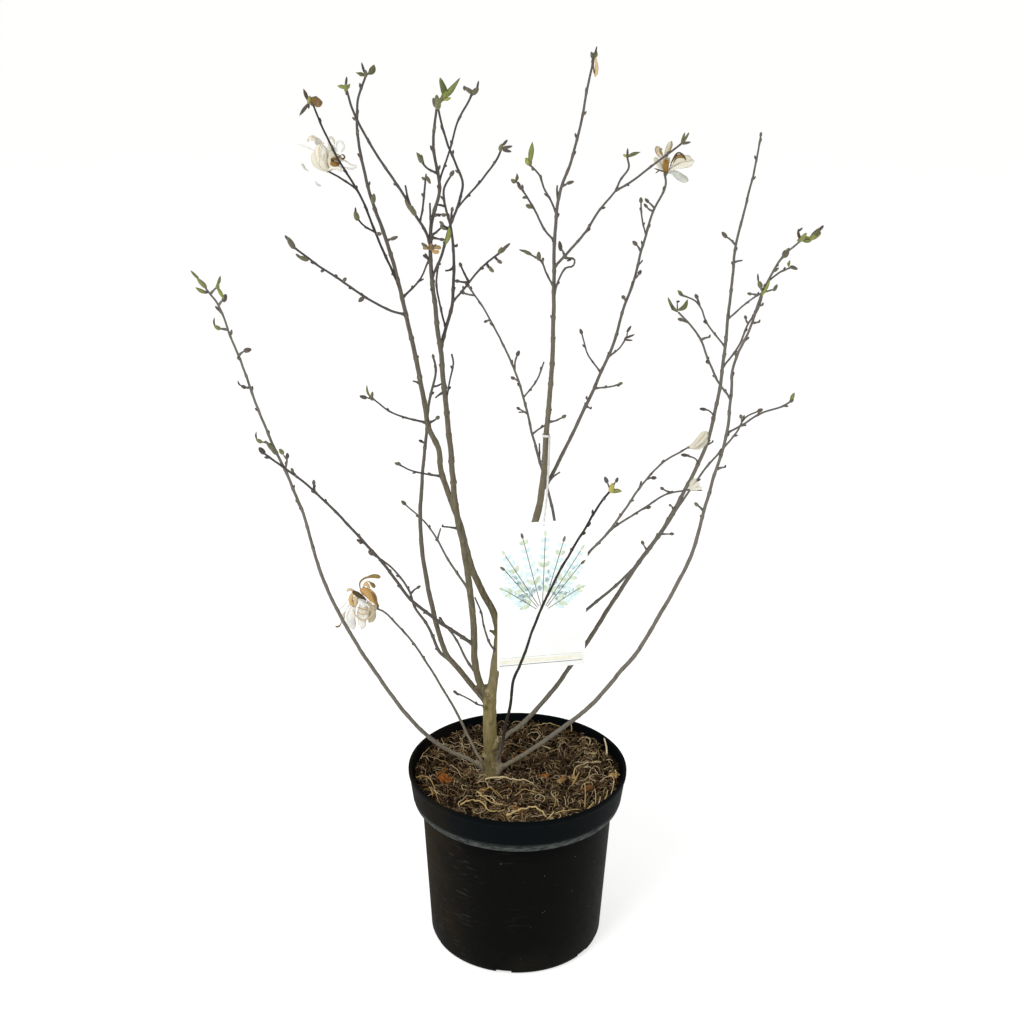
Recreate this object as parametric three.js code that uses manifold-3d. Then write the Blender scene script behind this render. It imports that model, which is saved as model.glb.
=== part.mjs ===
// A young star magnolia in a round black nursery pot, in early spring: a short trunk that forks
// low, long wiry stems, sprays of thin twigs with swelling buds and a few spent flowers.
// Units are millimetres, +Z is up, the origin is the middle of the pot's underside.
import * as THREE from 'three';
import { mergeVertices } from 'three/addons/utils/BufferGeometryUtils.js';
import Module from 'manifold-3d';

const wasm = await Module();
wasm.setup();

// ---------------------------------------------------------------- driving sizes

const GAP = 0.3; // clearance between pieces that touch

const POT_HEIGHT = 242;
const RIM_RADIUS = 140;
const COLLAR_HEIGHT = 46;
const COLLAR_FOOT_RADIUS = 134;
const BODY_TOP_RADIUS = 123;
const BODY_FOOT_RADIUS = 112;
const POT_WALL = 3;
const FOOT_EDGE = 10; // rounding between the side and the underside
const DRAIN_COUNT = 6;
const DRAIN_WIDTH = 20;
const DRAIN_HEIGHT = 5;
const DRAIN_INNER_RADIUS = 84;
const DRAIN_TURN = -98; // degrees round to the first drain notch

const SOIL_LEVEL = 223;
const SOIL_BUMP = 3.2;
const SEAT_RADIUS = 26; // level patch of soil round the trunk

const TRUNK_FOOT = [-34, 9];
const TRUNK_FLARE = 2.6;
const TRUNK_FLARE_HEIGHT = 16;

const LABEL_WIDTH = 112;
const LABEL_HEIGHT = 196;
const LABEL_THICK = 1.2;
const LABEL_MIDDLE = [28, 0, 478];
const LABEL_YAW = 12; // degrees, left edge forward
const STRAP_WIDTH = 4;
const STRAP_THICK = 1.2;
const STRAP_SHARE = 0.405; // how far up the middle stem the strap is looped

const TRUNK_SIDES = 14;
const BOUGH_SIDES = 8;
const LEADER_SIDES = 4;
const TWIG_SIDES = 3;
const RING_STEP = 30; // between the rings of a stem
const TRUNK_STEP = 10;
const STRAIGHT_TWIG = 22; // a side twig shorter than this has no bow
const SIDE_TWIG_THICK = 0.62; // of its parent's thickness
const LEAST_THICK = 1.6;
const BUD_STEP = 58; // between the small buds along a stem
const BUD_LENGTH = 8;
const BUD_WIDTH = 3.4;
const PETAL_LENGTH = 26;
const PETAL_WIDTH = 6.5;
const PETAL_THICK = 0.9;

const COLOURS = {
  pot: 0x15161a,
  soil: 0x43331f,
  trunk: 0x6b6142,
  bough: 0x665d47,
  shoot: 0x4c453c,
  label: 0xe9ebe6,
};

// ---------------------------------------------------------------- the plan of the stems

// A side twig leaves its stem at a share of the stem's length and reaches [right, away, up].
const twig = (share, reach, end = 'bud') => ({ share, reach, end });

// A side branch has a course of its own and twigs of its own.
const branch = (share, thick, path, end, shoots = []) => ({ share, thick, path, end, shoots });

// Each stem leaves `on` at the share `at`. It is bare up to the share `bare`, then a spray.
// thick is its thickness at the foot, halfway and at the tip.
const STEMS = [
  {
    name: 'middle', on: 'trunk', at: 1, bare: 0.437, thick: [12.4, 6.2, 2.2], end: 'leaves',
    path: [
      [-29, 12, 384], [-23, 16, 427], [-6, 23, 495], [18, 30, 565], [27, 34, 612], [30, 38, 672],
      [35, 42, 746], [36, 45, 826], [36, 48, 913], [40, 50, 959], [51, 50, 992], [63, 52, 1040],
      [69, 53, 1076], [76, 54, 1110],
    ],
    shoots: [
      twig(0.447, [19, -10, 10]),
      branch(0.66, 2.4, [[27, 50, 867], [21, 54, 881], [4, 60, 891]], 'leaf', [
        twig(0.6, [1, -4, 11]),
      ]),
      branch(0.64, 2.4, [[40, 37, 861], [48, 33, 877], [56, 31, 885]], 'bud'),
      branch(0.69, 3.4, [[46, 33, 890], [71, 3, 928], [83, -13, 952], [100, -33, 977]], 'none', [
        twig(0.17, [-5, 4, 15]),
        twig(0.5, [8, 0, 5]),
        branch(1, 2.2, [[104, -39, 990], [112, -43, 1003], [110, -45, 1014]], 'leaves'),
        branch(1, 2.4, [[117, -43, 989], [144, -57, 1013], [165, -65, 1031]], 'leaves'),
      ]),
      branch(0.73, 2.6, [[25, 58, 917], [10, 70, 942], [0, 76, 957], [-10, 80, 970]], 'leaves', [
        twig(0.76, [-6, -6, 2]),
        twig(0.58, [-7, -6, 4]),
      ]),
      branch(0.77, 2.4, [[31, 55, 950], [23, 61, 964], [17, 67, 979], [6, 71, 990]], 'leaves'),
      twig(0.79, [-1, 8, 16], 'bare'),
      twig(0.81, [11, 4, 3]),
    ],
  },
  {
    name: 'left_front', on: 'trunk', at: 0.82, bare: 0.36, thick: [10, 6.6, 1.7], end: 'leaves',
    path: [
      [-49, 2, 358], [-55, -2, 388], [-56, -8, 427], [-60, -22, 488], [-67, -38, 553],
      [-76, -50, 611], [-81, -66, 687], [-87, -80, 756], [-91, -92, 813], [-96, -104, 863],
      [-99, -116, 912], [-98, -124, 953], [-89, -130, 990], [-94, -136, 1033], [-90, -140, 1075],
    ],
    shoots: [
      branch(0.56, 1.9, [[-82, -85, 770], [-77, -89, 795], [-79, -91, 806]], 'bare'),
      twig(0.58, [-10, -4, -6], 'bare'),
      branch(0.65, 4, [
        [-85, -87, 832], [-78, -83, 861], [-76, -77, 905], [-79, -73, 941], [-87, -77, 982],
        [-78, -81, 1000],
      ], 'bud', [
        branch(0.12, 2.2, [[-91, -79, 855], [-95, -75, 879], [-94, -73, 898]], 'bud'),
        branch(0.27, 2.6, [[-67, -91, 876], [-49, -101, 901], [-23, -115, 925]], 'leaves', [
          twig(0.37, [-9, 6, 17]),
          twig(0.37, [-12, -8, 3]),
          twig(0.8, [6, -6, -4]),
        ]),
        twig(0.46, [-16, -12, -5]),
        twig(0.58, [6, 0, 1]),
        twig(0.8, [-11, -8, 3]),
      ]),
      branch(0.76, 3, [
        [-88, -125, 919], [-78, -139, 953], [-69, -145, 976], [-64, -149, 1000],
        [-70, -149, 1016], [-81, -151, 1046], [-88, -153, 1074],
      ], 'leaves', [
        branch(0.46, 2.2, [[-55, -153, 992], [-30, -173, 1025], [-24, -179, 1038]], 'leaves'),
        twig(0.33, [-7, -6, 7]),
        twig(0.38, [0, 6, 11]),
      ]),
      branch(0.81, 3, [
        [-105, -127, 949], [-116, -137, 969], [-128, -145, 992], [-147, -157, 1023],
        [-163, -167, 1053], [-173, -173, 1078], [-177, -177, 1094],
      ], 'leaves', [
        twig(0.15, [6, -6, 45]),
        twig(0.25, [-6, -4, 21], 'leaf'),
      ]),
      branch(0.9, 2, [
        [-83, -123, 1015], [-77, -117, 1033], [-71, -111, 1055], [-60, -105, 1075],
        [-55, -103, 1086],
      ], 'leaves'),
      twig(0.74, [-6, -4, 5]),
      twig(0.79, [-8, -6, 8]),
      twig(0.82, [12, -8, 11], 'leaf'),
      twig(0.82, [12, -4, -2]),
      twig(0.83, [0, -8, 29], 'bare'),
      twig(0.85, [11, -6, 2]),
      twig(0.91, [-16, -14, 15], 'leaf'),
    ],
  },
  {
    name: 'left_back', on: 'middle', at: 0.081, bare: 0.29, thick: [10, 5.6, 1.8], end: 'leaves',
    path: [
      [-32, 12, 450], [-46, 8, 479], [-61, 4, 519], [-73, 0, 570], [-86, -4, 610],
      [-95, -8, 643], [-98, -10, 671], [-109, -14, 697], [-114, -20, 735], [-124, -28, 794],
      [-134, -40, 850], [-140, -48, 881], [-149, -58, 919], [-166, -78, 981], [-174, -92, 1030],
      [-174, -104, 1071], [-164, -112, 1101],
    ],
    shoots: [
      twig(0.32, [-54, -6, 18]),
      twig(0.42, [-61, -14, 33], 'leaves'),
      twig(0.42, [12, -10, 10]),
      twig(0.49, [-9, 2, 3], 'bare'),
      branch(0.61, 2.8, [
        [-149, -43, 843], [-173, -49, 857], [-202, -59, 880], [-233, -69, 904], [-250, -75, 920],
      ], 'bud', [
        twig(0.35, [0, -3, -9]),
        twig(0.55, [4, -3, 8]),
        twig(0.75, [-6, 4, -7]),
        twig(0.9, [4, -2, 12], 'leaf'),
      ]),
      twig(0.64, [29, 24, 39], 'bare'),
      branch(0.66, 2.9, [
        [-152, -39, 899], [-166, -31, 931], [-179, -25, 965], [-198, -19, 994],
        [-217, -13, 1028], [-233, -5, 1064],
      ], 'leaves', [
        twig(0.28, [-22, 10, 23], 'leaf'),
      ]),
      branch(0.76, 2.2, [[-167, -72, 961], [-191, -80, 989], [-203, -86, 1010]], 'spent'),
    ],
  },
  {
    name: 'left_low', on: 'trunk', at: 0.74, bare: 0.73, thick: [7.6, 5.7, 2.2], end: 'bud',
    path: [
      [-54, 14, 341], [-72, 19, 362], [-91, 24, 385], [-105, 28, 428], [-116, 31, 485],
      [-123, 32, 544], [-121, 32, 609], [-116, 30, 661], [-111, 26, 713], [-102, 22, 755],
      [-105, 20, 780],
    ],
    shoots: [
      twig(0.77, [-8, 4, 0]),
      twig(0.92, [9, 8, 1], 'bare'),
    ],
  },
  {
    name: 'far_left', on: 'trunk', at: 0.08, bare: 0.53, thick: [7.2, 5, 1.7], end: 'leaves',
    path: [
      [-61, 3, 246], [-84, -2, 260], [-110, -10, 283], [-142, -22, 327], [-179, -38, 395],
      [-213, -52, 467], [-234, -64, 530], [-251, -76, 611], [-268, -86, 668], [-290, -96, 731],
      [-301, -104, 776], [-314, -112, 821], [-326, -120, 866], [-337, -124, 883],
    ],
    shoots: [
      twig(0.63, [-3, -3, 10]),
      twig(0.69, [5, -4, 25], 'leaf'),
      twig(0.75, [-15, -4, 8], 'leaf'),
      twig(0.85, [-6, -2, -7]),
      twig(0.89, [11, 4, 4]),
      twig(0.94, [-11, -4, 7]),
      twig(0.98, [7, 8, 23], 'leaf'),
    ],
  },
  {
    name: 'far_right', on: 'trunk', at: 0.08, bare: 0.56, thick: [7, 5.1, 1.7], end: 'leaves',
    path: [
      [-7, 2, 245], [18, -4, 266], [56, -14, 303], [92, -26, 343], [124, -38, 394],
      [147, -46, 431], [168, -56, 481], [188, -66, 529], [203, -74, 578], [210, -80, 623],
      [219, -86, 668], [228, -92, 716], [230, -97, 763], [230, -100, 798], [244, -106, 840],
      [251, -110, 871], [261, -114, 899], [274, -118, 925], [291, -122, 942],
    ],
    shoots: [
      twig(0.59, [-9, -4, 9]),
      twig(0.65, [12, 2, 2]),
      branch(0.71, 2.4, [[247, -82, 726], [269, -72, 737], [294, -62, 742], [304, -58, 747]], 'leaf'),
      branch(0.76, 2.6, [
        [217, -106, 777], [201, -118, 806], [190, -128, 834], [172, -140, 857], [162, -146, 868],
      ], 'leaves', [
        twig(0.42, [-5, -2, 4]),
        twig(0.65, [8, -8, 8]),
        twig(0.87, [-7, 4, 2]),
      ]),
      twig(0.87, [11, -4, 4]),
      twig(0.89, [8, -4, 3]),
      twig(0.91, [-8, -6, 17], 'leaf'),
      branch(0.93, 1.9, [[273, -104, 903], [289, -96, 906]], 'leaf'),
    ],
  },
  {
    name: 'back_right', on: 'trunk', at: 0.26, bare: 0.34, thick: [7.7, 6.7, 1.8], end: 'bud',
    path: [
      [-15, 20, 272], [5, 32, 283], [36, 54, 308], [66, 78, 340], [107, 104, 396],
      [153, 130, 464], [185, 146, 506], [215, 162, 558], [242, 178, 615], [258, 194, 686],
      [264, 206, 745], [267, 214, 790], [270, 220, 828], [273, 226, 876], [286, 236, 932],
      [296, 244, 986], [299, 248, 1007],
    ],
    shoots: [
      twig(0.38, [-8, -8, 14]),
      twig(0.41, [14, -8, 3]),
      twig(0.45, [-6, -8, 10]),
      twig(0.52, [-20, -10, 15]),
      twig(0.55, [10, -8, 4]),
      twig(0.59, [-16, -8, 15]),
      branch(0.67, 2.8, [
        [281, 209, 742], [292, 215, 769], [305, 219, 789], [311, 223, 816],
      ], 'leaves', [
        twig(0.57, [-4, -4, 9]),
      ]),
      branch(0.74, 2.4, [[288, 192, 805], [303, 182, 819], [318, 176, 826]], 'leaf', [
        twig(0.7, [-9, 4, 1]),
      ]),
      branch(0.7, 2.6, [
        [240, 214, 772], [232, 218, 790], [223, 220, 800], [206, 224, 807],
      ], 'leaf', [
        twig(0.41, [-6, -4, 4]),
        twig(0.69, [-5, -6, 13]),
      ]),
      twig(0.82, [11, -6, 5]),
      twig(0.84, [-17, 8, 15]),
    ],
  },
  {
    name: 'front', on: 'trunk', at: 0.12, bare: 0.71, thick: [5, 3.9, 3], end: 'leaves',
    path: [
      [-21, -4, 265], [-17, -16, 302], [-9, -32, 349], [-7, -44, 382], [2, -60, 415],
      [23, -90, 496], [47, -116, 565], [73, -142, 626], [86, -158, 659], [95, -166, 675],
    ],
    shoots: [
      twig(0.88, [4, -4, 4]),
    ],
  },
  {
    name: 'back_left', on: 'trunk', at: 0.1, bare: 0.6, thick: [3.8, 2.9, 2.4], end: 'spent',
    path: [
      [-53, 22, 244], [-63, 36, 259], [-76, 52, 278], [-95, 72, 304], [-124, 98, 342],
      [-152, 120, 371], [-180, 138, 392], [-203, 147, 402],
    ],
    shoots: [],
  },
  {
    name: 'back_middle', on: 'back_right', at: 0.185, bare: 0.41, thick: [4.6, 3.2, 2], end: 'leaf',
    path: [
      [67, 78, 422], [51, 74, 509], [40, 74, 566], [32, 76, 597], [20, 84, 637], [7, 98, 684],
      [-8, 114, 731], [-36, 132, 785], [-53, 142, 812], [-68, 150, 832],
    ],
    shoots: [
      twig(0.54, [-1, 10, 23]),
      twig(0.61, [16, 8, 9]),
      twig(0.66, [-11, 8, 4]),
      twig(0.7, [26, 24, 40], 'bare'),
      twig(0.74, [-7, 6, 3]),
      twig(0.77, [4, 8, 18]),
      twig(0.9, [-6, 8, -3]),
      twig(0.97, [-15, -4, 4]),
    ],
  },
  {
    name: 'right_inner', on: 'middle', at: 0.334, bare: 0.24, thick: [6.2, 4.4, 2.4], end: 'flower',
    path: [
      [35, 44, 613], [47, 56, 636], [75, 80, 688], [98, 102, 736], [113, 116, 769],
      [123, 130, 802], [138, 146, 844], [146, 156, 877], [160, 168, 922], [175, 178, 957],
      [173, 182, 971],
    ],
    shoots: [
      twig(0.28, [6, -6, -1]),
      twig(0.34, [31, -12, 10]),
      twig(0.39, [-25, 12, 48]),
      twig(0.44, [27, 12, 24], 'leaves'),
      twig(0.61, [-4, -6, 6]),
      twig(0.68, [6, -6, 9]),
      twig(0.76, [-7, 6, 9]),
      twig(0.81, [-7, 8, 41]),
      twig(0.88, [-10, -6, 8]),
      twig(0.89, [-9, 8, 8]),
    ],
  },
  {
    name: 'left_sweep', on: 'left_front', at: 0.117, bare: 0, thick: [4.9, 3.1, 1.8], end: 'leaf',
    path: [
      [-73, -16, 430], [-105, -26, 459], [-133, -38, 491], [-162, -54, 541], [-198, -74, 595],
      [-239, -96, 650], [-287, -120, 701],
    ],
    shoots: [
      twig(0.52, [-12, -6, 12]),
      twig(0.79, [-1, 4, 9]),
      twig(0.87, [-3, -3, 8]),
    ],
  },
  {
    name: 'left_low_side', on: 'left_low', at: 0.165, bare: 0, thick: [4.2, 3, 1.8], end: 'bud',
    path: [
      [-100, 25, 388], [-112, 20, 421], [-129, 12, 455], [-137, 8, 481], [-159, 0, 516],
      [-181, -8, 535],
    ],
    shoots: [
      twig(0.59, [9, 6, 6]),
    ],
  },
  {
    name: 'left_inner', on: 'left_front', at: 0.058, bare: 0, thick: [3.3, 2.8, 1.8], end: 'bud',
    path: [[-64, 4, 385], [-80, 12, 414], [-98, 18, 437]],
    shoots: [],
  },
  {
    name: 'left_behind', on: 'left_front', at: 0.222, bare: 0, thick: [3.2, 2.2, 1.8], end: 'bud',
    path: [[-75, -12, 510], [-90, 4, 528], [-106, 24, 549], [-123, 50, 559], [-145, 62, 575]],
    shoots: [],
  },
  {
    name: 'right_behind', on: 'middle', at: 0.043, bare: 0, thick: [4.5, 3.3, 1.8], end: 'bud',
    path: [
      [2, 20, 389], [39, 34, 406], [88, 52, 439], [144, 76, 482], [182, 96, 527],
      [203, 106, 559], [239, 122, 608], [275, 134, 649], [285, 140, 667], [304, 146, 675],
    ],
    shoots: [
      twig(0.94, [-2, -5, 9]),
    ],
  },
  {
    name: 'right_flower', on: 'middle', at: 0.085, bare: 0, thick: [4.4, 3.2, 2], end: 'spent',
    path: [
      [1, 19, 432], [40, 18, 471], [84, 20, 526], [103, 14, 552], [125, 0, 591],
      [146, -10, 631], [164, -18, 656], [195, -28, 681],
    ],
    shoots: [
      branch(0.56, 2.6, [[127, 24, 569], [151, 32, 582], [179, 42, 598], [208, 50, 601]], 'spent', [
        twig(0.43, [8, 4, 1]),
        twig(0.8, [-12, -4, 6]),
      ]),
      twig(0.81, [8, 2, 1]),
    ],
  },
  {
    name: 'trunk_side', on: 'trunk', at: 0.75, bare: 0, thick: [2.6, 2.1, 1.9], end: 'bud',
    path: [[-51, -2, 328], [-65, -9, 341], [-79, -14, 352]],
    shoots: [],
  },
  {
    name: 'middle_side', on: 'middle', at: 0.05, bare: 0, thick: [3.2, 2.5, 1.9], end: 'bare',
    path: [[-37, 2, 414], [-45, -4, 441], [-47, -6, 458], [-55, -7, 478]],
    shoots: [],
  },
];

// ---------------------------------------------------------------- small helpers

function makeRandom(seed) {
  let state = seed;
  return () => {
    state = (state * 1664525 + 1013904223) % 4294967296;
    return state / 4294967296;
  };
}

const toVector = ([x, y, z]) => new THREE.Vector3(x, y, z);
const mix = (a, b, share) => a + (b - a) * share;

function smooth(low, high, value) {
  const t = Math.min(1, Math.max(0, (value - low) / (high - low)));
  return t * t * (3 - 2 * t);
}

// A closed three.js geometry as a solid that can be fused and cut.
function solidOf(geometry) {
  geometry.deleteAttribute('normal');
  geometry.deleteAttribute('uv');
  const merged = mergeVertices(geometry, 1e-4);
  const mesh = new wasm.Mesh({
    numProp: 3,
    vertProperties: new Float32Array(merged.attributes.position.array),
    triVerts: new Uint32Array(merged.index.array),
  });
  return new wasm.Manifold(mesh);
}

const fuse = (solids) => solids.reduce((whole, next) => whole.add(next));

// The piece itself, without the slivers that a cut can leave beside it.
const mainPart = (solid) => solid.decompose().sort((a, b) => b.volume() - a.volume())[0];

function geometryOf(solid) {
  const mesh = solid.getMesh();
  const geometry = new THREE.BufferGeometry();
  geometry.setAttribute('position', new THREE.BufferAttribute(mesh.vertProperties, 3));
  geometry.setIndex(new THREE.BufferAttribute(mesh.triVerts, 1));
  geometry.computeVertexNormals();
  return geometry;
}

// Rings of points from one end to the other, closed by a fan at each end. A ring of one point
// is a tip.
function skin(rings) {
  const sides = Math.max(...rings.map((ring) => ring.length));
  const positions = rings.flat().flatMap((p) => [p.x, p.y, p.z]);
  const faces = [];
  let low = 0;
  for (let ring = 0; ring + 1 < rings.length; ring += 1) {
    const high = low + rings[ring].length;
    const fromTip = rings[ring].length === 1;
    const toTip = rings[ring + 1].length === 1;
    for (let side = 0; side < sides; side += 1) {
      const next = (side + 1) % sides;
      if (!fromTip) faces.push(low + side, low + next, high + (toTip ? 0 : next));
      if (!toTip) faces.push(low + (fromTip ? 0 : side), high + next, high + side);
    }
    low = high;
  }
  for (let side = 1; side + 1 < sides; side += 1) {
    if (rings[0].length > 1) faces.push(0, side + 1, side);
    if (rings.at(-1).length > 1) faces.push(low, low + side, low + side + 1);
  }
  const geometry = new THREE.BufferGeometry();
  geometry.setAttribute('position', new THREE.Float32BufferAttribute(positions, 3));
  geometry.setIndex(faces);
  return geometry;
}

// Two directions square to a stem, the same way round all along it.
function frameAcross(along, guide) {
  const across = new THREE.Vector3().crossVectors(guide, along).normalize();
  const over = new THREE.Vector3().crossVectors(along, across).normalize();
  return [across, over];
}

// The world axis that a direction leans on least.
function guideFor(direction) {
  const size = [Math.abs(direction.x), Math.abs(direction.y), Math.abs(direction.z)];
  const least = size.indexOf(Math.min(...size));
  return new THREE.Vector3().setComponent(least, 1);
}

function ringAt(centre, across, over, wide, deep, sides) {
  return Array.from({ length: sides }, (_, side) => {
    const turn = (2 * Math.PI * side) / sides;
    return centre.clone()
      .addScaledVector(across, wide * Math.cos(turn))
      .addScaledVector(over, deep * Math.sin(turn));
  });
}

// ---------------------------------------------------------------- stems, buds and flowers

// The middle line of a limb: straight runs between stations along a smooth course, so that
// what grows from it starts inside the faceted solid.
function lineThrough(points, step = RING_STEP) {
  const course = new THREE.CatmullRomCurve3(points, false, 'centripetal');
  const length = course.getLength();
  const runs = Math.max(1, Math.ceil(length / step));
  const stations = course.getSpacedPoints(runs);
  const pointAt = (share) => {
    const run = Math.min(runs - 1, Math.floor(share * runs));
    return stations[run].clone().lerp(stations[run + 1], share * runs - run);
  };
  return { length, runs, pointAt, wayAt: (share) => course.getTangentAt(share) };
}

// Thickness at a share of the length, through the foot, halfway and tip values.
function thicknessLaw([foot, half, tip]) {
  const swell = 4 * (half - (foot + tip) / 2);
  return (share) => mix(foot, tip, share) + swell * share * (1 - share);
}

// A closed tapering tube along a line, from one share of its length to another.
function tube(line, from, to, thickAt, sides) {
  const between = Array.from({ length: line.runs - 1 }, (_, i) => (i + 1) / line.runs)
    .filter((share) => share > from + 0.2 / line.runs && share < to - 0.2 / line.runs);
  const guide = guideFor(line.pointAt(to).sub(line.pointAt(from)));
  const rings = [from, ...between, to].map((share) => {
    const [across, over] = frameAcross(line.wayAt(share), guide);
    const radius = thickAt(share) / 2;
    return ringAt(line.pointAt(share), across, over, radius, radius, sides);
  });
  return solidOf(skin(rings));
}

// A pointed bud: a spindle, widest below its middle.
function bud(foot, direction, length, width) {
  const along = direction.clone().normalize();
  const [across, over] = frameAcross(along, guideFor(along));
  const station = (share) => foot.clone().addScaledVector(along, share * length);
  const belly = ringAt(station(0.38), across, over, width / 2, width / 2, 3);
  return solidOf(skin([[station(-0.15)], belly, [station(1)]]));
}

// A strap-shaped petal or young leaf, widest past its middle, with its tip drooping.
function blade(foot, direction, droop, length, width, thick) {
  const along = direction.clone().normalize();
  const [across, over] = frameAcross(along, guideFor(along));
  const tip = foot.clone().addScaledVector(along, length);
  const middle = foot.clone().lerp(tip, 0.58).addScaledVector(over, thick / 2);
  tip.z -= droop * length;
  return solidOf(skin([[foot], ringAt(middle, across, over, width / 2, thick / 2, 4), [tip]]));
}

// Directions leaning out from a line, spread evenly round it.
function spread(along, lean, count, random) {
  const [across, over] = frameAcross(along, guideFor(along));
  const start = random() * 2 * Math.PI;
  return Array.from({ length: count }, (_, i) => {
    const turn = start + (2 * Math.PI * i) / count;
    const tilt = lean * (0.75 + 0.5 * random());
    return along.clone().multiplyScalar(Math.cos(tilt))
      .addScaledVector(across, Math.sin(tilt) * Math.cos(turn))
      .addScaledVector(over, Math.sin(tilt) * Math.sin(turn));
  });
}

// What a shoot ends in.
const ENDINGS = {
  none: () => [],
  bare: () => [],
  bud: (tip, along) => [bud(tip, along, BUD_LENGTH, BUD_WIDTH)],
  leaf: (tip, along, random) => [
    bud(tip, along, BUD_LENGTH, BUD_WIDTH + 0.8),
    ...spread(along, 0.5, 1, random).map((way) => blade(tip, way, 0, 15, 4.6, 1.8)),
  ],
  leaves: (tip, along, random) => [
    bud(tip, along, BUD_LENGTH + 4, BUD_WIDTH + 1),
    ...spread(along, 0.75, 3, random).map((way, i) => blade(tip, way, 0, 11 + 4 * i, 4.8, 2)),
  ],
  flower: (tip, along, random) => flower(tip, along, 0.15, random),
  spent: (tip, along, random) => flower(tip, along, 0.75, random),
};

// A star flower of strap petals round a short heart, droop 0 when fresh.
function flower(tip, along, droop, random) {
  const heart = bud(tip, along, 9, 8);
  const petals = [...spread(along, 0.7, 5, random), ...spread(along, 1.25, 6, random)]
    .map((way) => {
      const length = PETAL_LENGTH * (0.8 + 0.35 * random());
      return blade(tip, way, droop * random(), length, PETAL_WIDTH, PETAL_THICK);
    });
  return [heart, ...petals];
}

// A long side twig bows a little below the straight line to its tip.
function twigLine(foot, reach) {
  const tip = foot.clone().add(reach);
  if (reach.length() < STRAIGHT_TWIG) return lineThrough([foot, tip], STRAIGHT_TWIG * 2);
  const sag = new THREE.Vector3(reach.x, reach.y, -Math.abs(reach.z)).multiplyScalar(0.12);
  return lineThrough([foot, foot.clone().lerp(tip, 0.5).add(sag), tip]);
}

const endOf = (line, ending, random) => ENDINGS[ending](line.pointAt(1), line.wayAt(1), random);

// Every limb's middle line, so that no seeded bud grows into another limb.
const limbLines = [];

function noteLimb(name, line, thickAt) {
  const count = Math.ceil(line.length / 12);
  for (let i = 0; i <= count; i += 1) {
    const share = i / count;
    limbLines.push({ name, at: line.pointAt(share), radius: thickAt(share) / 2 });
  }
}

function isClear(point, name) {
  return limbLines.every((limb) => limb.name === name
    || limb.at.distanceTo(point) > limb.radius + 4);
}

// Small buds that stand by turns round a stem, on the part of it that is in the spray.
function seededBuds(line, from, thickAt, name, random) {
  const buds = [];
  let turn = random() * 2 * Math.PI;
  for (let at = from * line.length + BUD_STEP / 2; at < line.length - 14; at += BUD_STEP) {
    const share = (at + (random() - 0.5) * 14) / line.length;
    const foot = line.pointAt(share);
    const along = line.wayAt(share);
    const [across, over] = frameAcross(along, guideFor(along));
    const out = across.multiplyScalar(Math.cos(turn)).addScaledVector(over, Math.sin(turn));
    const way = out.addScaledVector(along, 0.8).normalize();
    const size = thickAt(share) / 2 + BUD_LENGTH * (0.7 + 0.5 * random());
    if (isClear(foot.clone().addScaledVector(way, size), name)) {
      buds.push(bud(foot, way, size, BUD_WIDTH * 0.85));
    }
    turn += 2.4;
  }
  return buds;
}

// A side shoot with all that grows on it.
function growShoot(parent, parentThickAt, shoot, name, random) {
  const foot = parent.pointAt(shoot.share);
  if (shoot.reach) {
    const thick = Math.max(LEAST_THICK, parentThickAt(shoot.share) * SIDE_TWIG_THICK);
    const law = thicknessLaw([Math.min(thick, 3), 2, LEAST_THICK]);
    const line = twigLine(foot, toVector(shoot.reach));
    return [tube(line, 0, 1, law, TWIG_SIDES), ...endOf(line, shoot.end, random)];
  }
  const line = lineThrough([foot, ...shoot.path.map(toVector)]);
  const law = thicknessLaw([shoot.thick, mix(shoot.thick, 1.8, 0.45), 1.8]);
  return [
    tube(line, 0, 1, law, TWIG_SIDES),
    ...seededBuds(line, 0.15, law, name, random),
    ...shoot.shoots.flatMap((next) => growShoot(line, law, next, name, random)),
    ...endOf(line, shoot.end, random),
  ];
}

// ---------------------------------------------------------------- trunk

function trunkLineUp() {
  const [x, y] = TRUNK_FOOT;
  const heights = [[0, SOIL_LEVEL - 14], [0, SOIL_LEVEL + 2], [-1.5, 264], [-2, 308], [-2, 332]];
  const points = heights.map(([lean, z]) => new THREE.Vector3(x + lean, y, z));
  return lineThrough([...points, new THREE.Vector3(-32, 10, 354)], TRUNK_STEP);
}

// Full thickness up to the fork, a flare at the ground and a taper into the middle bough.
function trunkThickness(line, topThick) {
  return (share) => {
    const height = line.pointAt(share).z - SOIL_LEVEL;
    const flare = 2 * TRUNK_FLARE * (1 - smooth(0, TRUNK_FLARE_HEIGHT, height));
    return mix(17.2 + flare, topThick, smooth(100, 131, height));
  };
}

function belowGround() {
  const block = new THREE.BoxGeometry(80, 80, 40).toNonIndexed();
  block.translate(TRUNK_FOOT[0], TRUNK_FOOT[1], SOIL_LEVEL + GAP - 20);
  return solidOf(block);
}

// ---------------------------------------------------------------- pot, soil and label

function lathe(profile, segments) {
  const closed = [...profile, profile[0]].map(([r, z]) => new THREE.Vector2(r, z));
  const geometry = new THREE.LatheGeometry(closed, segments);
  geometry.rotateX(Math.PI / 2);
  return geometry;
}

function roundedFoot(radius, edge, steps) {
  return Array.from({ length: steps + 1 }, (_, i) => {
    const turn = (Math.PI / 2) * (i / steps);
    return [radius - edge + edge * Math.sin(turn), edge - edge * Math.cos(turn)];
  });
}

const COLLAR_FOOT = POT_HEIGHT - COLLAR_HEIGHT;
const COLLAR_INNER = COLLAR_FOOT_RADIUS - POT_WALL;
const RIM_INNER = RIM_RADIUS - POT_WALL - 1;
const POT_FLOOR = 4;

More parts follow.
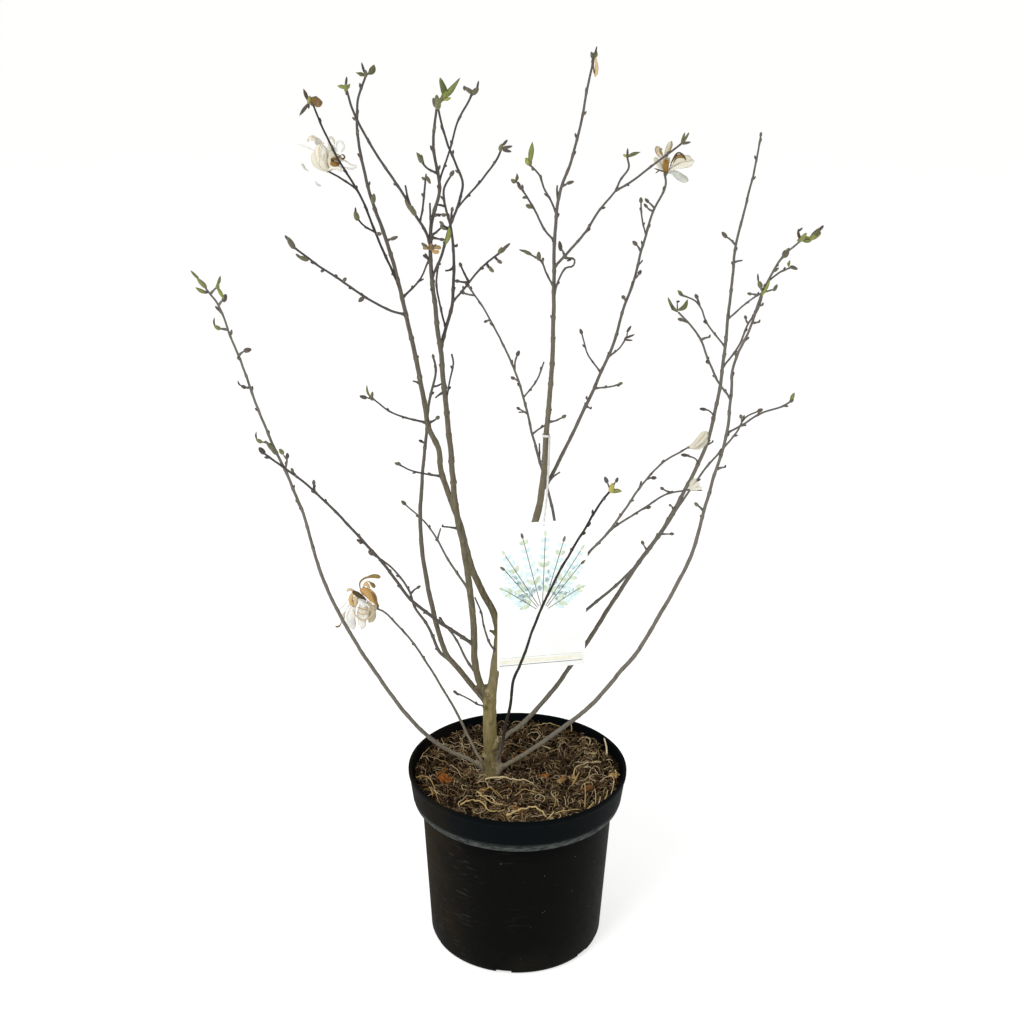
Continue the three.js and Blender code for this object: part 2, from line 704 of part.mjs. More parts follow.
// Inside face of the pot from the floor up, as [radius, height].
const INSIDE = [
  [BODY_FOOT_RADIUS - POT_WALL - 5, POT_FLOOR],
  [BODY_FOOT_RADIUS - POT_WALL, POT_FLOOR + 7],
  [BODY_TOP_RADIUS - POT_WALL, COLLAR_FOOT + POT_WALL],
  [COLLAR_INNER, COLLAR_FOOT + POT_WALL],
  [RIM_INNER, POT_HEIGHT],
];

function buildPot() {
  const outside = [
    ...roundedFoot(BODY_FOOT_RADIUS, FOOT_EDGE, 2),
    [BODY_TOP_RADIUS, COLLAR_FOOT],
    [COLLAR_FOOT_RADIUS - 2, COLLAR_FOOT],
    [COLLAR_FOOT_RADIUS + 0.4, COLLAR_FOOT + 3],
    [RIM_RADIUS - 1, POT_HEIGHT - 7],
    [RIM_RADIUS, POT_HEIGHT - 5],
    [RIM_RADIUS, POT_HEIGHT - 1],
    [RIM_RADIUS - 1, POT_HEIGHT],
  ];
  const profile = [[0, 0], ...outside, ...INSIDE.slice().reverse(), [0, POT_FLOOR]];
  const shell = solidOf(lathe(profile, 40));
  const notches = Array.from({ length: DRAIN_COUNT }, (_, i) => {
    const reach = BODY_FOOT_RADIUS + 20 - DRAIN_INNER_RADIUS;
    const block = new THREE.BoxGeometry(reach, DRAIN_WIDTH, DRAIN_HEIGHT * 2).toNonIndexed();
    block.translate(DRAIN_INNER_RADIUS + reach / 2, 0, 0);
    block.rotateZ(THREE.MathUtils.degToRad(DRAIN_TURN + (360 / DRAIN_COUNT) * i));
    return solidOf(block);
  });
  // a thicker floor over the notches keeps the pot closed there
  const floor = new THREE.CylinderGeometry(104, 104, 6, 40).rotateX(Math.PI / 2);
  floor.translate(0, 0, DRAIN_HEIGHT + 1.6);
  return shell.subtract(fuse(notches)).add(solidOf(floor));
}

const SOIL_FLOOR = DRAIN_HEIGHT + 4.6 + GAP;

function soilHeight(x, y) {
  const rough = 0.5 * Math.sin(x * 0.071 + 1.3) + 0.5 * Math.sin(y * 0.083 - x * 0.022)
    + 0.4 * Math.sin(x * 0.19 - y * 0.14) + 0.35 * Math.sin(y * 0.23 + x * 0.05 + 2);
  const away = Math.hypot(x - TRUNK_FOOT[0], y - TRUNK_FOOT[1]);
  return SOIL_LEVEL + SOIL_BUMP * rough * smooth(SEAT_RADIUS, SEAT_RADIUS + 18, away);
}

// The root ball fills the pot and is rough on top, with a level seat for the trunk.
function buildSoil() {
  const segments = 32;
  const ringCount = 7;
  const topRadius = mix(COLLAR_INNER, RIM_INNER, (SOIL_LEVEL - COLLAR_FOOT) / COLLAR_HEIGHT) - 1.4;
  const side = [
    [BODY_FOOT_RADIUS - POT_WALL - 1.2, SOIL_FLOOR],
    [BODY_TOP_RADIUS - POT_WALL - 0.5, COLLAR_FOOT + POT_WALL + GAP],
    [COLLAR_INNER - 0.5, COLLAR_FOOT + POT_WALL + GAP],
  ];
  const around = (radius, heightAt) => Array.from({ length: segments }, (_, i) => {
    const turn = (2 * Math.PI * i) / segments;
    const x = radius * Math.cos(turn);
    const y = radius * Math.sin(turn);
    return new THREE.Vector3(x, y, heightAt(x, y));
  });
  const rings = side.map(([radius, z]) => around(radius, () => z));
  for (let i = 0; i < ringCount; i += 1) {
    rings.push(around(topRadius * (1 - i / ringCount), soilHeight));
  }
  return solidOf(skin(rings));
}

function buildStrapLoop(line, thickAt) {
  const share = STRAP_SHARE;
  const inner = thickAt(share) / 2 + 0.6;
  const outer = inner + STRAP_THICK;
  const half = STRAP_WIDTH / 2;
  const band = lathe([[inner, -half], [outer, -half], [outer, half], [inner, half]], 12);
  const upright = new THREE.Vector3(0, 0, 1);
  const turn = new THREE.Quaternion().setFromUnitVectors(upright, line.wayAt(share));
  band.applyQuaternion(turn);
  const middle = line.pointAt(share);
  band.translate(middle.x, middle.y, middle.z);
  return { band: solidOf(band), front: middle.add(new THREE.Vector3(0, -inner - 0.5, 0)) };
}

// A card with rounded corners that hangs on a narrow strap looped round the middle stem.
function buildLabel(line, thickAt) {
  const [x, y, z] = LABEL_MIDDLE;
  const corner = 6;
  const [w, h] = [LABEL_WIDTH / 2, LABEL_HEIGHT / 2];
  const outline = new THREE.Shape();
  outline.moveTo(-w + corner, -h);
  outline.lineTo(w - corner, -h);
  outline.absarc(w - corner, -h + corner, corner, -Math.PI / 2, 0, false);
  outline.absarc(w - corner, h - corner, corner, 0, Math.PI / 2, false);
  outline.absarc(-w + corner, h - corner, corner, Math.PI / 2, Math.PI, false);
  outline.absarc(-w + corner, -h + corner, corner, Math.PI, 1.5 * Math.PI, false);
  const card = new THREE.ExtrudeGeometry(outline, {
    depth: LABEL_THICK, bevelEnabled: false, curveSegments: 3,
  });
  card.translate(0, 0, -LABEL_THICK / 2);
  card.rotateX(Math.PI / 2);
  card.rotateZ(THREE.MathUtils.degToRad(LABEL_YAW));
  card.translate(x, y, z);
  const loop = buildStrapLoop(line, thickAt);
  const tail = lineThrough([
    loop.front,
    new THREE.Vector3(mix(loop.front.x, x, 0.5), mix(loop.front.y, y, 0.62), z + h + 40),
    new THREE.Vector3(x, y, z + h - 5),
  ]);
  const rings = Array.from({ length: tail.runs + 1 }, (_, i) => {
    const share = i / tail.runs;
    const [across, over] = frameAcross(tail.wayAt(share), new THREE.Vector3(0, 1, 0));
    return ringAt(tail.pointAt(share), across, over, STRAP_WIDTH / 2, STRAP_THICK / 2, 4);
  });
  return fuse([solidOf(card), loop.band, solidOf(skin(rings))]);
}

// ---------------------------------------------------------------- assembly

const tree = new THREE.Group();
tree.name = 'star_magnolia_in_pot';

function addPiece(name, solid, color, roughness) {
  const material = new THREE.MeshStandardMaterial({ color, roughness, metalness: 0 });
  material.name = name;
  const mesh = new THREE.Mesh(geometryOf(solid), material);
  mesh.name = name;
  tree.add(mesh);
}

const grown = {};

function plant(name, line, thickAt) {
  grown[name] = { line, thickAt };
  noteLimb(name, line, thickAt);
}

const trunkLine = trunkLineUp();
plant('trunk', trunkLine, trunkThickness(trunkLine, STEMS[0].thick[0]));
for (const stem of STEMS) {
  const root = grown[stem.on].line.pointAt(stem.at);
  plant(stem.name, lineThrough([root, ...stem.path.map(toVector)]), thicknessLaw(stem.thick));
}

// Room for a child's foot: its parent, larger all round by the clearance.
function roomRound(name) {
  const { line, thickAt } = grown[name];
  const sides = name === 'trunk' ? TRUNK_SIDES : BOUGH_SIDES;
  const fit = (2 * GAP) / Math.cos(Math.PI / sides) + 0.1;
  const room = tube(line, 0, 1, (share) => thickAt(share) + fit, sides);
  return room.add(room.translate([0, 0, GAP + 0.1]));
}

function addStem(stem, random) {
  const { line, thickAt } = grown[stem.name];
  const room = roomRound(stem.on);
  const hasBough = stem.bare > 0;
  if (hasBough) {
    const bough = tube(line, 0, stem.bare, thickAt, BOUGH_SIDES).subtract(room);
    addPiece(`${stem.name}_bough`, mainPart(bough), COLOURS.bough, 0.8);
  }
  const start = hasBough ? stem.bare + GAP / line.length : 0;
  const spray = fuse([
    tube(line, start, 1, thickAt, LEADER_SIDES),
    ...seededBuds(line, hasBough ? start : 0.2, thickAt, stem.name, random),
    ...stem.shoots.flatMap((shoot) => growShoot(line, thickAt, shoot, stem.name, random)),
    ...endOf(line, stem.end, random),
  ]);
  const seated = hasBough ? spray : spray.subtract(room);
  addPiece(`${stem.name}_twigs`, mainPart(seated), COLOURS.shoot, 0.85);
}

addPiece('pot', buildPot(), COLOURS.pot, 0.45);
addPiece('soil', buildSoil(), COLOURS.soil, 0.95);
const trunkWhole = tube(trunkLine, 0, 1, grown.trunk.thickAt, TRUNK_SIDES);
addPiece('trunk', trunkWhole.subtract(belowGround()), COLOURS.trunk, 0.8);
STEMS.forEach((stem, index) => addStem(stem, makeRandom(101 + 37 * index)));
addPiece('label', buildLabel(grown.middle.line, grown.middle.thickAt), COLOURS.label, 0.5);

export default tree;
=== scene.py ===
"""A young star magnolia in a round black nursery pot, in early spring.

Bare wiry stems fork from a short trunk. They carry small buds, a few opening leaves and the
first and last star flowers. The plan of the stems is in millimetres, everything that is built
is in metres, +Z is up, and the origin is the middle of the pot's underside.
"""
import bisect
import math
import random

import bmesh
import bpy
from mathutils import Matrix, Vector, kdtree, noise


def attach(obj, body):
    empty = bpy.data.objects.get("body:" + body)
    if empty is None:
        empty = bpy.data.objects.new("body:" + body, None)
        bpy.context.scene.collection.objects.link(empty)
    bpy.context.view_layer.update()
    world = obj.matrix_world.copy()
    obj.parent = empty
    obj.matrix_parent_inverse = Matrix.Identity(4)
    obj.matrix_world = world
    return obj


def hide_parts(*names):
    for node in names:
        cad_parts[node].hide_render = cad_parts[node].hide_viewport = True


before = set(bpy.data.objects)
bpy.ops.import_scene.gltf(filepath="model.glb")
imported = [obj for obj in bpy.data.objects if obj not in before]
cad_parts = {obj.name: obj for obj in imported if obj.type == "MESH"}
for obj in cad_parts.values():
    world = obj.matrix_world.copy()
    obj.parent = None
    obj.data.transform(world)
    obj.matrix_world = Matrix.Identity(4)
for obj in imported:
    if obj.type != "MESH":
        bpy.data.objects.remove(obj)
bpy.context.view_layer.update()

MM = 0.001
NOISE_SEED = 1  # without a seed, noise_vector differs from run to run
noise.seed_set(NOISE_SEED)

# ------------------------------------------------------------------ sizes

POT_HEIGHT = 242 * MM
RIM_RADIUS = 140 * MM
COLLAR_FOOT = 196 * MM  # height of the collar's lower edge
COLLAR_RADIUS = 134 * MM  # at its lower edge
BODY_TOP_RADIUS = 123 * MM
BODY_FOOT_RADIUS = 112 * MM
POT_WALL = 3 * MM
DRAIN_COUNT = 6
DRAIN_WIDTH = 20 * MM
DRAIN_HEIGHT = 6 * MM
DRAIN_INNER_RADIUS = 84 * MM
DRAIN_TURN = math.radians(-98)

SOIL_LEVEL = 223 * MM
SOIL_EDGE = 135.4 * MM  # just inside the pot's wall
SOIL_REACH = 132  # how far out the loose fibres and crumbs lie, in millimetres
SOIL_BANK = 5.5  # how far the soil is heaped up against the wall, in millimetres
TRUNK_FOOT = Vector((-34, 9, 223)) * MM

LABEL_WIDTH = 112 * MM
LABEL_HEIGHT = 196 * MM
LABEL_THICK = 1.2 * MM
LABEL_MIDDLE = Vector((28, 0, 478)) * MM
LABEL_YAW = math.radians(12)
STRAP_WIDTH = 3 * MM
STRAP_SHARE = 0.424  # how far up the middle stem the strap is looped

SOIL_SKIRT = 206 * MM  # how far the soil's skirt reaches down inside the pot
SOIL_CELLS = 190  # across the soil
POT_FLOOR = 9.6 * MM  # the floor's upper face
LIMB_VOXEL = 1.0 * MM
LIMB_CUT = 212 * MM  # the trunk's lower end, in the soil
BLADE_THICK = 0.35 * MM
CHIP_THICK = 0.4 * MM
STRAP_THICK = 0.7 * MM
INK_THICK = 0.05 * MM

# Growth, in millimetres. Nodes are the swellings of a stem that carry its buds.
STEM_GAP = 26  # between the nodes of a stem
TWIG_GAP = 17  # between the nodes of a twig
SPUR_GAP = 6.5  # between the nodes of a spur, which is a twig shorter than SPUR_LENGTH
SPUR_LENGTH = 24
TRUNK_STEP = 4  # from ring to ring
BOUGH_STEP = 5
SHOOT_STEP = 3.5
SPUR_STEP = 1.6
NODE_REACH = 1.9  # from a node's middle to where its swelling fades
BRANCH_TIP = 2.2  # thickness of a side branch at its tip
PEG_CHANCE = 0.08  # that a side bud stands on a short peg
END_BUDS = {"bud": 7, "leaf": 7.5}  # lengths of a plain tip's bud, alone or with a leaf
LEAF_LENGTH = 9
LEAF_WIDTH = 4.4

# Where one tone or girth ends and the next begins, as each kind of piece has a few materials.
GIRTH_LIMITS = (0.27, 0.5)  # thin shoots, young wood and old wood
DARK_BARK = -0.4  # the shade below which a stem's bark is nearly black
BUD_LIMITS = (0.35, 0.65)
LEAF_LIMITS = (0.3, 0.62)
PETAL_LIMITS = (0.22, 0.56, 0.91)

CRUMB_COUNT = 2600
CRUMB_SIZES = (0.9, 1.2, 1.6, 2.2, 3.2)  # in millimetres
FIBRE_COUNT = 4200
PALE_FIBRES = 0.24  # the share of them that is pale
LONG_ROOT_COUNT = 330
LONG_ROOT_REACH = 124  # how far out they start, in millimetres
PALE_LONG_ROOTS = 0.45
CHIP_COUNT = 170
CHIP_REACH = 126  # how far out they lie, in millimetres

# The card's design, in millimetres from its middle: a fan of sprigs over a cream band.
SPRIG_COUNT = 9
SPRIG_LEAVES = 7  # on each side
FAN_FOOT = (0, -20)
FAN_LEAN = 1.15  # of the outermost sprigs, in radians
FAN_REACH = 47
BAND_REACH = 53
BANDS = [(-86, 5, 3), (-91, 0.7, 2), (-81, 0.5, 1)]  # height, width and ink

ROUND = 6.3  # a whole turn in radians, near enough for chance
FLOOR_REACH = 60

WORLD_STRENGTH = 0.55
KEY_POWER = 62
FILL_POWER = 8

# Roots that lie on the soil: places as (right, away) in millimetres, and radius.
LONG_ROOTS = [
    ([(-41, -13), (-33, -6), (-18, -5), (-3, -10), (12, -15), (21, -24)], 1.2),
    ([(-71, -74), (-59, -67), (-47, -67), (-40, -78), (-31, -94), (-15, -89)], 1.3),
    ([(-13, -103), (0, -89), (16, -77), (28, -84), (36, -100)], 1.7),
    ([(-51, -43), (-41, -55), (-32, -71), (-18, -75)], 1.2),
    ([(25, 113), (37, 123), (50, 121), (59, 116)], 0.7),
    ([(72, -6), (76, 19), (87, 27), (100, 27), (110, 25)], 0.9),
    ([(-129, -20), (-119, -10), (-109, -25), (-102, -53), (-96, -72)], 0.9),
    ([(-47, -36), (-35, -35), (-23, -45), (-19, -61)], 0.8),
    ([(-3, -49), (6, -37), (19, -37), (29, -46)], 0.7),
    ([(-11, -96), (-9, -80), (-2, -75), (3, -89)], 0.7),
    ([(46, -95), (59, -88), (77, -87)], 0.9),
    ([(-126, 30), (-123, 44), (-116, 58)], 0.6),
]

# Straws that stand up out of the soil: place as (right, away), reach as (right, away, up), radius.
STRAWS = [
    ((46, -76), (1, 4, 20), 0.9), ((83, -80), (0, 6, 34), 0.8), ((118, 43), (-4, 12, 20), 1.3),
    ((126, -12), (-1, 3, 12), 1.2), ((108, -64), (5, 6, 13), 0.9), ((86, -83), (8, 2, 10), 1.0),
    ((73, 104), (-2, 3, 14), 0.9), ((70, -16), (9, 4, 18), 1.2), ((-8, 23), (1, 2, 20), 1.0),
    ((36, -101), (9, 3, 10), 1.2), ((106, 36), (0, 2, 14), 0.6), ((118, -45), (3, 3, 18), 0.8),
    ((100, -72), (3, 2, 12), 0.8), ((-106, -56), (-5, 9, 9), 1.0), ((60, -70), (-2, 2, 13), 0.6),
    ((-100, 60), (2, 3, 10), 0.6), ((97, -70), (-1, 2, 22), 0.6), ((-67, 40), (-4, 2, 12), 0.6),
]

# Fallen leaves on the soil, crumpled into bits: place, spread, number of bits and tone.
FALLEN = [
    ((-93, -12), 6, 7, 0.95), ((-96, 4), 4, 3, 0.9), ((37, -2), 4, 3, 0.92), ((57, -11), 3, 2, 0.68),
    ((70, -6), 3, 2, 0.72), ((92, -40), 8, 6, 0.5), ((10, 57), 4, 2, 0.9), ((126, -6), 2, 2, 0.7),
    ((5, 112), 5, 2, 0.68), ((-46, -33), 3, 2, 0.72), ((3, -86), 7, 4, 0.55), ((57, -79), 3, 2, 0.4),
    ((-15, -99), 4, 2, 0.68),
]

# The camera looks a little down on the pot from in front.
IMAGE_PIXELS = 1024
FOCAL_PIXELS = 1500
RIM_PIXEL = (517.5, 764.1)  # where the middle of the pot's rim lies
CAMERA_DISTANCE = 1.929
CAMERA_PITCH = math.radians(20.44)
CAMERA_ROLL = math.radians(0.59)

# ------------------------------------------------------------------ the plan of the stems


def twig(share, reach, end="bud"):
    """A side twig leaves at a share of its stem's length and reaches (right, away, up)."""
    return {"share": share, "reach": reach, "end": end}


def branch(share, thick, path, end, shoots=(), shade=None):
    """A side branch has a course of its own, and twigs of its own."""
    return {"share": share, "thick": thick, "path": path, "end": end, "shoots": shoots,
            "shade": shade}


def stem(name, on, at, thick, path, shade, bare=0, end="bud", shoots=()):
    """A stem leaves `on` at a share of its length and is a bare bough up to the share `bare`.

    thick is its thickness at the foot, halfway and at the tip. The bark's shade runs from -1 for
    nearly black to 1 for pale grey.
    """
    return {"name": name, "on": on, "at": at, "bare": bare, "thick": thick, "end": end,
            "path": path, "shoots": shoots, "shade": shade}


STEMS = [
    stem("middle", on="trunk", at=1, shade=0.2, bare=0.437, thick=(12.4, 6.2, 2.6), end="hanging_petal",
         path=[(-29, 12, 384), (-23, 16, 427), (-6, 23, 495), (18, 30, 565), (27, 34, 612), (30, 38, 672),
         (35, 42, 746), (36, 45, 826), (36, 48, 913), (40, 50, 959), (51, 50, 992), (63, 52, 1040),
         (69, 53, 1076), (76, 54, 1110)],
         shoots=[
             twig(0.447, (19, -10, 10)),
             branch(0.66, 2.4, [(27, 50, 867), (21, 54, 881), (7, 60, 889)], "left_bud", [
                 twig(0.6, (0, -3, 5)), twig(0.7, (-2, -3, 5), "olive_knob"),
             ]),
             branch(0.638, 2.4, [(40, 41, 859), (49, 41, 876), (58, 40, 879), (59, 39, 887),
                 (50, 39, 888)], "bud"),
             branch(0.69, 3.4, [(46, 33, 890), (71, 3, 928), (83, -13, 952), (100, -33, 977)], "none", [
                 twig(0.17, (-4, 3, 8), "brown_bud"), twig(0.5, (4, -3, 3), "tick"),
                 branch(1, 2.2, [(104, -39, 990), (112, -43, 1003), (110, -45, 1014)], "sprout"),
                 branch(1, 2.4, [(117, -43, 989), (144, -57, 1013), (165, -65, 1031)], "three_buds"),
             ]),
             branch(0.73, 2.6, [(25, 58, 917), (10, 70, 942), (0, 76, 957),
                 (-10, 80, 970)], "leaf_and_bud", [
                 twig(0.84, (-2, -3, 3)), twig(0.72, (-3, -3, 1)), twig(0.56, (-5, -4, 2)),
             ]),
             branch(0.77, 2.4, [(31, 55, 950), (23, 61, 964), (17, 67, 979), (6, 71, 990)], "long_leaf"),
             twig(0.79, (-1, 8, 16), "bare"), twig(0.812, (7, -3, 4), "oval_right"),
         ]),
    stem("left_front", on="trunk", at=0.82, shade=-0.12, bare=0.36, thick=(8.8, 6.2, 2.5), end="dark_buds",
         path=[(-49, 2, 358), (-55, -2, 388), (-56, -8, 427), (-60, -22, 488), (-67, -38, 553),
         (-76, -50, 611), (-81, -66, 687), (-87, -80, 756), (-91, -92, 813), (-96, -104, 863),
         (-99, -116, 912), (-98, -124, 953), (-89, -130, 990), (-94, -136, 1033), (-90, -140, 1075)],
         shoots=[
             branch(0.56, 1.9, [(-82, -85, 770), (-77, -89, 795), (-79, -91, 806)], "bare"),
             twig(0.58, (-10, -4, -6), "bare"),
             branch(0.65, 4, [(-85, -87, 832), (-78, -83, 861), (-76, -77, 905), (-79, -73, 941),
                 (-87, -77, 982), (-78, -81, 1000)], "bud", [
                 branch(0.12, 2.2, [(-91, -79, 855), (-95, -75, 879), (-94, -73, 898)], "bud"),
                 branch(0.27, 2.6, [(-67, -91, 876), (-49, -101, 901), (-23, -115, 925)], "bud_row", [
                     twig(0.37, (-9, 6, 17)), twig(0.37, (-12, -8, 3)), twig(0.86, (5, -4, -4)),
                     twig(0.72, (5, -4, -6)),
                 ]),
                 twig(0.46, (-9, -8, -2), "bare"), twig(0.58, (4, -3, 0), "tick"),
                 twig(0.8, (-10, -8, 3), "tick"),
             ], shade=-0.25),
             branch(0.76, 3, [(-88, -125, 919), (-78, -139, 953), (-69, -145, 976), (-64, -149, 1000),
                 (-70, -149, 1016), (-81, -151, 1046), (-88, -153, 1074)], "crown_pair", [
                 branch(0.46, 2.2, [(-55, -153, 992), (-30, -173, 1025),
                     (-24, -179, 1038)], "brown_pair"),
                 twig(0.33, (-7, -6, 7)), twig(0.343, (0, -3, -1), "pale_leaf"), twig(0.38, (0, 6, 11)),
             ], shade=-0.35),
             branch(0.81, 3, [(-105, -127, 949), (-116, -137, 969), (-128, -145, 992), (-147, -157, 1023),
                 (-163, -167, 1053), (-173, -173, 1078), (-177, -177, 1094)], "green_star", [
                 twig(0.15, (6, -6, 45), "twin_tips"), twig(0.23, (-7, -4, 27), "bare"),
                 twig(0.22, (-2, -3, 4), "olive_long"),
             ]),
             branch(0.9, 2, [(-83, -123, 1015), (-77, -117, 1033), (-71, -111, 1055), (-60, -105, 1075),
                 (-55, -103, 1086)], "fuzzy_pair"),
             twig(0.343, (-21, -3, 4), "tick"), twig(0.74, (-2, -3, 2), "tick"),
             twig(0.787, (-5, -3, 4), "dark_knob"), twig(0.82, (12, -8, 11), "side_bud"),
             twig(0.81, (1, -8, -4), "withered"), twig(0.82, (12, -4, -2)),
             twig(0.83, (0, -8, 29), "bare"), twig(0.85, (11, -6, 2)), twig(0.91, (-16, -14, 15), "leaf"),
         ]),
    stem("left_back", on="middle", at=0.081, shade=-0.08, bare=0.29, thick=(9, 5.6, 2.4), end="oval_pair",
         path=[(-32, 12, 450), (-46, 8, 479), (-61, 4, 519), (-73, 0, 570), (-86, -4, 610),
         (-95, -8, 643), (-98, -10, 671), (-109, -14, 697), (-114, -20, 735), (-124, -28, 794),
         (-134, -40, 850), (-140, -48, 881), (-149, -58, 919), (-166, -78, 981), (-174, -92, 1030),
         (-174, -104, 1071), (-164, -112, 1101)],
         shoots=[
             twig(0.32, (-54, -6, 18)), twig(0.42, (-61, -14, 33), "twin_buds"),
             twig(0.42, (12, -10, 10)), twig(0.49, (-9, 2, 3), "bare"),
             branch(0.61, 2.8, [(-149, -43, 843), (-173, -49, 857), (-202, -59, 880), (-233, -69, 904),
                 (-250, -75, 920)], "fat_bud", [
                 twig(0.35, (-3, -2, -2)), twig(0.55, (2, -2, 3)), twig(0.72, (-2, 2, -2)),
                 twig(0.87, (-3, -2, 0), "olive_left"),
             ]),
             twig(0.64, (29, 24, 39), "bare"), twig(0.738, (6, -3, 3), "oval_right"),
             twig(0.805, (1, -3, 3), "olive_knob"),
             branch(0.66, 2.9, [(-150, -56, 902), (-163, -60, 936), (-176, -60, 970), (-194, -58, 999),
                 (-212, -52, 1032), (-228, -44, 1068)], "brown_star", [
                 twig(0.31, (-21, 8, 15), "olive_bud"),
                 branch(0.54, 2.2, [(-192, -52, 985), (-203, -43, 990), (-214, -34, 994)], "spent_cream"),
                 twig(0.3, (3, -3, 1)),
             ], shade=-0.7),
         ]),
    stem("left_low", on="trunk", at=0.74, shade=0.05, bare=0.73, thick=(7.2, 5.2, 2.5),
         path=[(-54, 14, 341), (-72, 19, 362), (-91, 24, 385), (-105, 28, 428), (-116, 31, 485),
         (-123, 32, 544), (-121, 32, 609), (-116, 30, 661), (-111, 26, 713), (-102, 22, 755),
         (-105, 20, 774)],
         shoots=[twig(0.77, (-5, 3, 1), "dark_knob"), twig(0.92, (9, 8, 1), "bare")]),
    stem("far_left", on="trunk", at=0.08, shade=0.6, bare=0.53, thick=(5.4, 4.1, 2.2), end="far_left_top",
         path=[(-61, 3, 246), (-84, -2, 260), (-110, -10, 283), (-142, -22, 327), (-179, -38, 395),
         (-213, -52, 467), (-234, -64, 530), (-251, -76, 611), (-268, -86, 668), (-290, -96, 731),
         (-301, -104, 776), (-314, -112, 821), (-326, -120, 866), (-337, -124, 883)],
         shoots=[
             twig(0.63, (-3, -3, 8)), twig(0.698, (4, -3, 17), "dark_and_olive"),
             twig(0.733, (-2, -3, 2), "olive_long"), twig(0.74, (-14, -3, 5), "horned"),
             twig(0.838, (-6, -3, 1), "small_horned"), twig(0.89, (7, -3, 6), "brown_right"),
             twig(0.932, (-9, -3, 2), "horned"), twig(0.97, (7, -3, 8), "brown_oval"),
             twig(0.99, (8, -3, 8), "split_leaf"),
         ]),
    stem("far_right", on="trunk", at=0.08, shade=0.5, bare=0.56, thick=(5.8, 4.4, 2.1), end="olive_pair",
         path=[(-7, 2, 245), (18, -4, 266), (56, -14, 303), (92, -26, 343), (124, -38, 394),
         (147, -46, 431), (168, -56, 481), (188, -66, 529), (203, -74, 578), (210, -80, 623),
         (219, -86, 668), (228, -92, 716), (230, -97, 763), (230, -100, 798), (244, -106, 840),
         (251, -110, 871), (261, -114, 899), (274, -118, 925), (291, -122, 942)],
         shoots=[
             twig(0.59, (-9, -4, 9)), twig(0.655, (9, -3, 4), "tick"),
             branch(0.71, 2.4, [(247, -82, 726), (269, -72, 737), (294, -62, 742),
                 (304, -58, 747)], "leaf"),
             branch(0.76, 2.6, [(217, -106, 777), (201, -118, 806), (190, -128, 834), (172, -140, 857),
                 (162, -146, 868)], "small_pair", [
                 twig(0.42, (-4, -3, 2), "tick"), twig(0.65, (7, -6, 5), "tick"), twig(0.87, (-7, 4, 2)),
             ]),
             twig(0.87, (7, -3, 2), "tick"), twig(0.893, (5, -3, 3), "tick"),
             twig(0.915, (-4, -3, 8), "spur_bud"), twig(0.945, (10, -4, 18), "leaf"),
             twig(0.91, (3, -3, 4), "green_leaf"),
             branch(0.93, 1.9, [(273, -104, 903), (286, -98, 907)], "two_buds"),
         ]),
    stem("back_right", on="trunk", at=0.26, shade=0.45, bare=0.34, thick=(5.8, 5, 2.2),
         path=[(-15, 20, 272), (5, 32, 283), (36, 54, 308), (66, 78, 340), (107, 104, 396),
         (153, 130, 464), (185, 146, 506), (215, 162, 558), (242, 178, 615), (258, 194, 686),
         (264, 206, 745), (267, 214, 790), (270, 220, 828), (273, 226, 876), (286, 236, 932),
         (296, 244, 986), (299, 248, 1007)],
         shoots=[
             twig(0.38, (-8, -8, 14)), twig(0.41, (14, -8, 3)), twig(0.45, (-6, -8, 10)),
             branch(0.527, 2, [(229, 171, 601), (221, 170, 605), (214, 170, 606)], "dark_left"),
             twig(0.557, (7, -3, 4), "tick"),
             branch(0.595, 2, [(250, 184, 658), (244, 183, 664), (237, 183, 665)], "dark_left"),
             branch(0.67, 2.8, [(281, 209, 742), (292, 215, 769), (305, 219, 789),
                 (311, 223, 816)], "none", [
                 twig(0.57, (-4, -4, 9)),
             ]),
             branch(0.74, 2.4, [(288, 192, 805), (303, 182, 819), (318, 176, 826)], "oval_up", [
                 twig(0.7, (-9, 4, 1)),
             ]),
             branch(0.7, 2.6, [(240, 214, 772), (232, 218, 790), (223, 220, 800),
                 (206, 224, 807)], "leaf", [
                 twig(0.41, (-5, -3, 3), "tick"), twig(0.69, (-5, -6, 13)),
             ]),
             twig(0.82, (10, -5, 4), "bare"), twig(0.845, (-15, -3, 12), "fat_grey"),
         ]),
    stem("front", on="trunk", at=0.12, shade=-0.88, bare=0.71, thick=(4.4, 3.3, 2.6), end="yellow_tip",
         path=[(-21, -4, 265), (-17, -16, 302), (-9, -32, 349), (-7, -44, 382), (2, -60, 415),
         (23, -90, 496), (47, -116, 565), (73, -142, 626), (86, -158, 659), (95, -166, 675)],
         shoots=[twig(0.88, (3, -3, 3), "tick")]),
    stem("back_left", on="trunk", at=0.1, shade=0.6, bare=0.6, thick=(3.8, 3.1, 2.6), end="spent_orange",
         path=[(-53, 22, 244), (-63, 36, 259), (-76, 52, 278), (-95, 72, 304), (-124, 98, 342),
         (-152, 120, 371), (-180, 138, 392), (-188, 141, 395)]),
    stem("back_middle", on="back_right", at=0.185, shade=0.5, bare=0.41, thick=(4.6, 3.4, 2.2), end="leaf",
         path=[(67, 78, 422), (51, 74, 509), (40, 74, 566), (32, 76, 597), (20, 84, 637), (7, 98, 684),
         (-8, 114, 731), (-36, 132, 785), (-53, 142, 812), (-68, 150, 832)],
         shoots=[
             twig(0.54, (-1, 10, 22), "bare"), twig(0.61, (16, 8, 9)), twig(0.66, (-11, 8, 4)),
             twig(0.7, (26, 24, 40), "bare"), twig(0.74, (-7, 6, 3)), twig(0.77, (4, 8, 18)),
             twig(0.9, (-6, 8, -3)), twig(0.97, (-15, -4, 4)),
         ]),
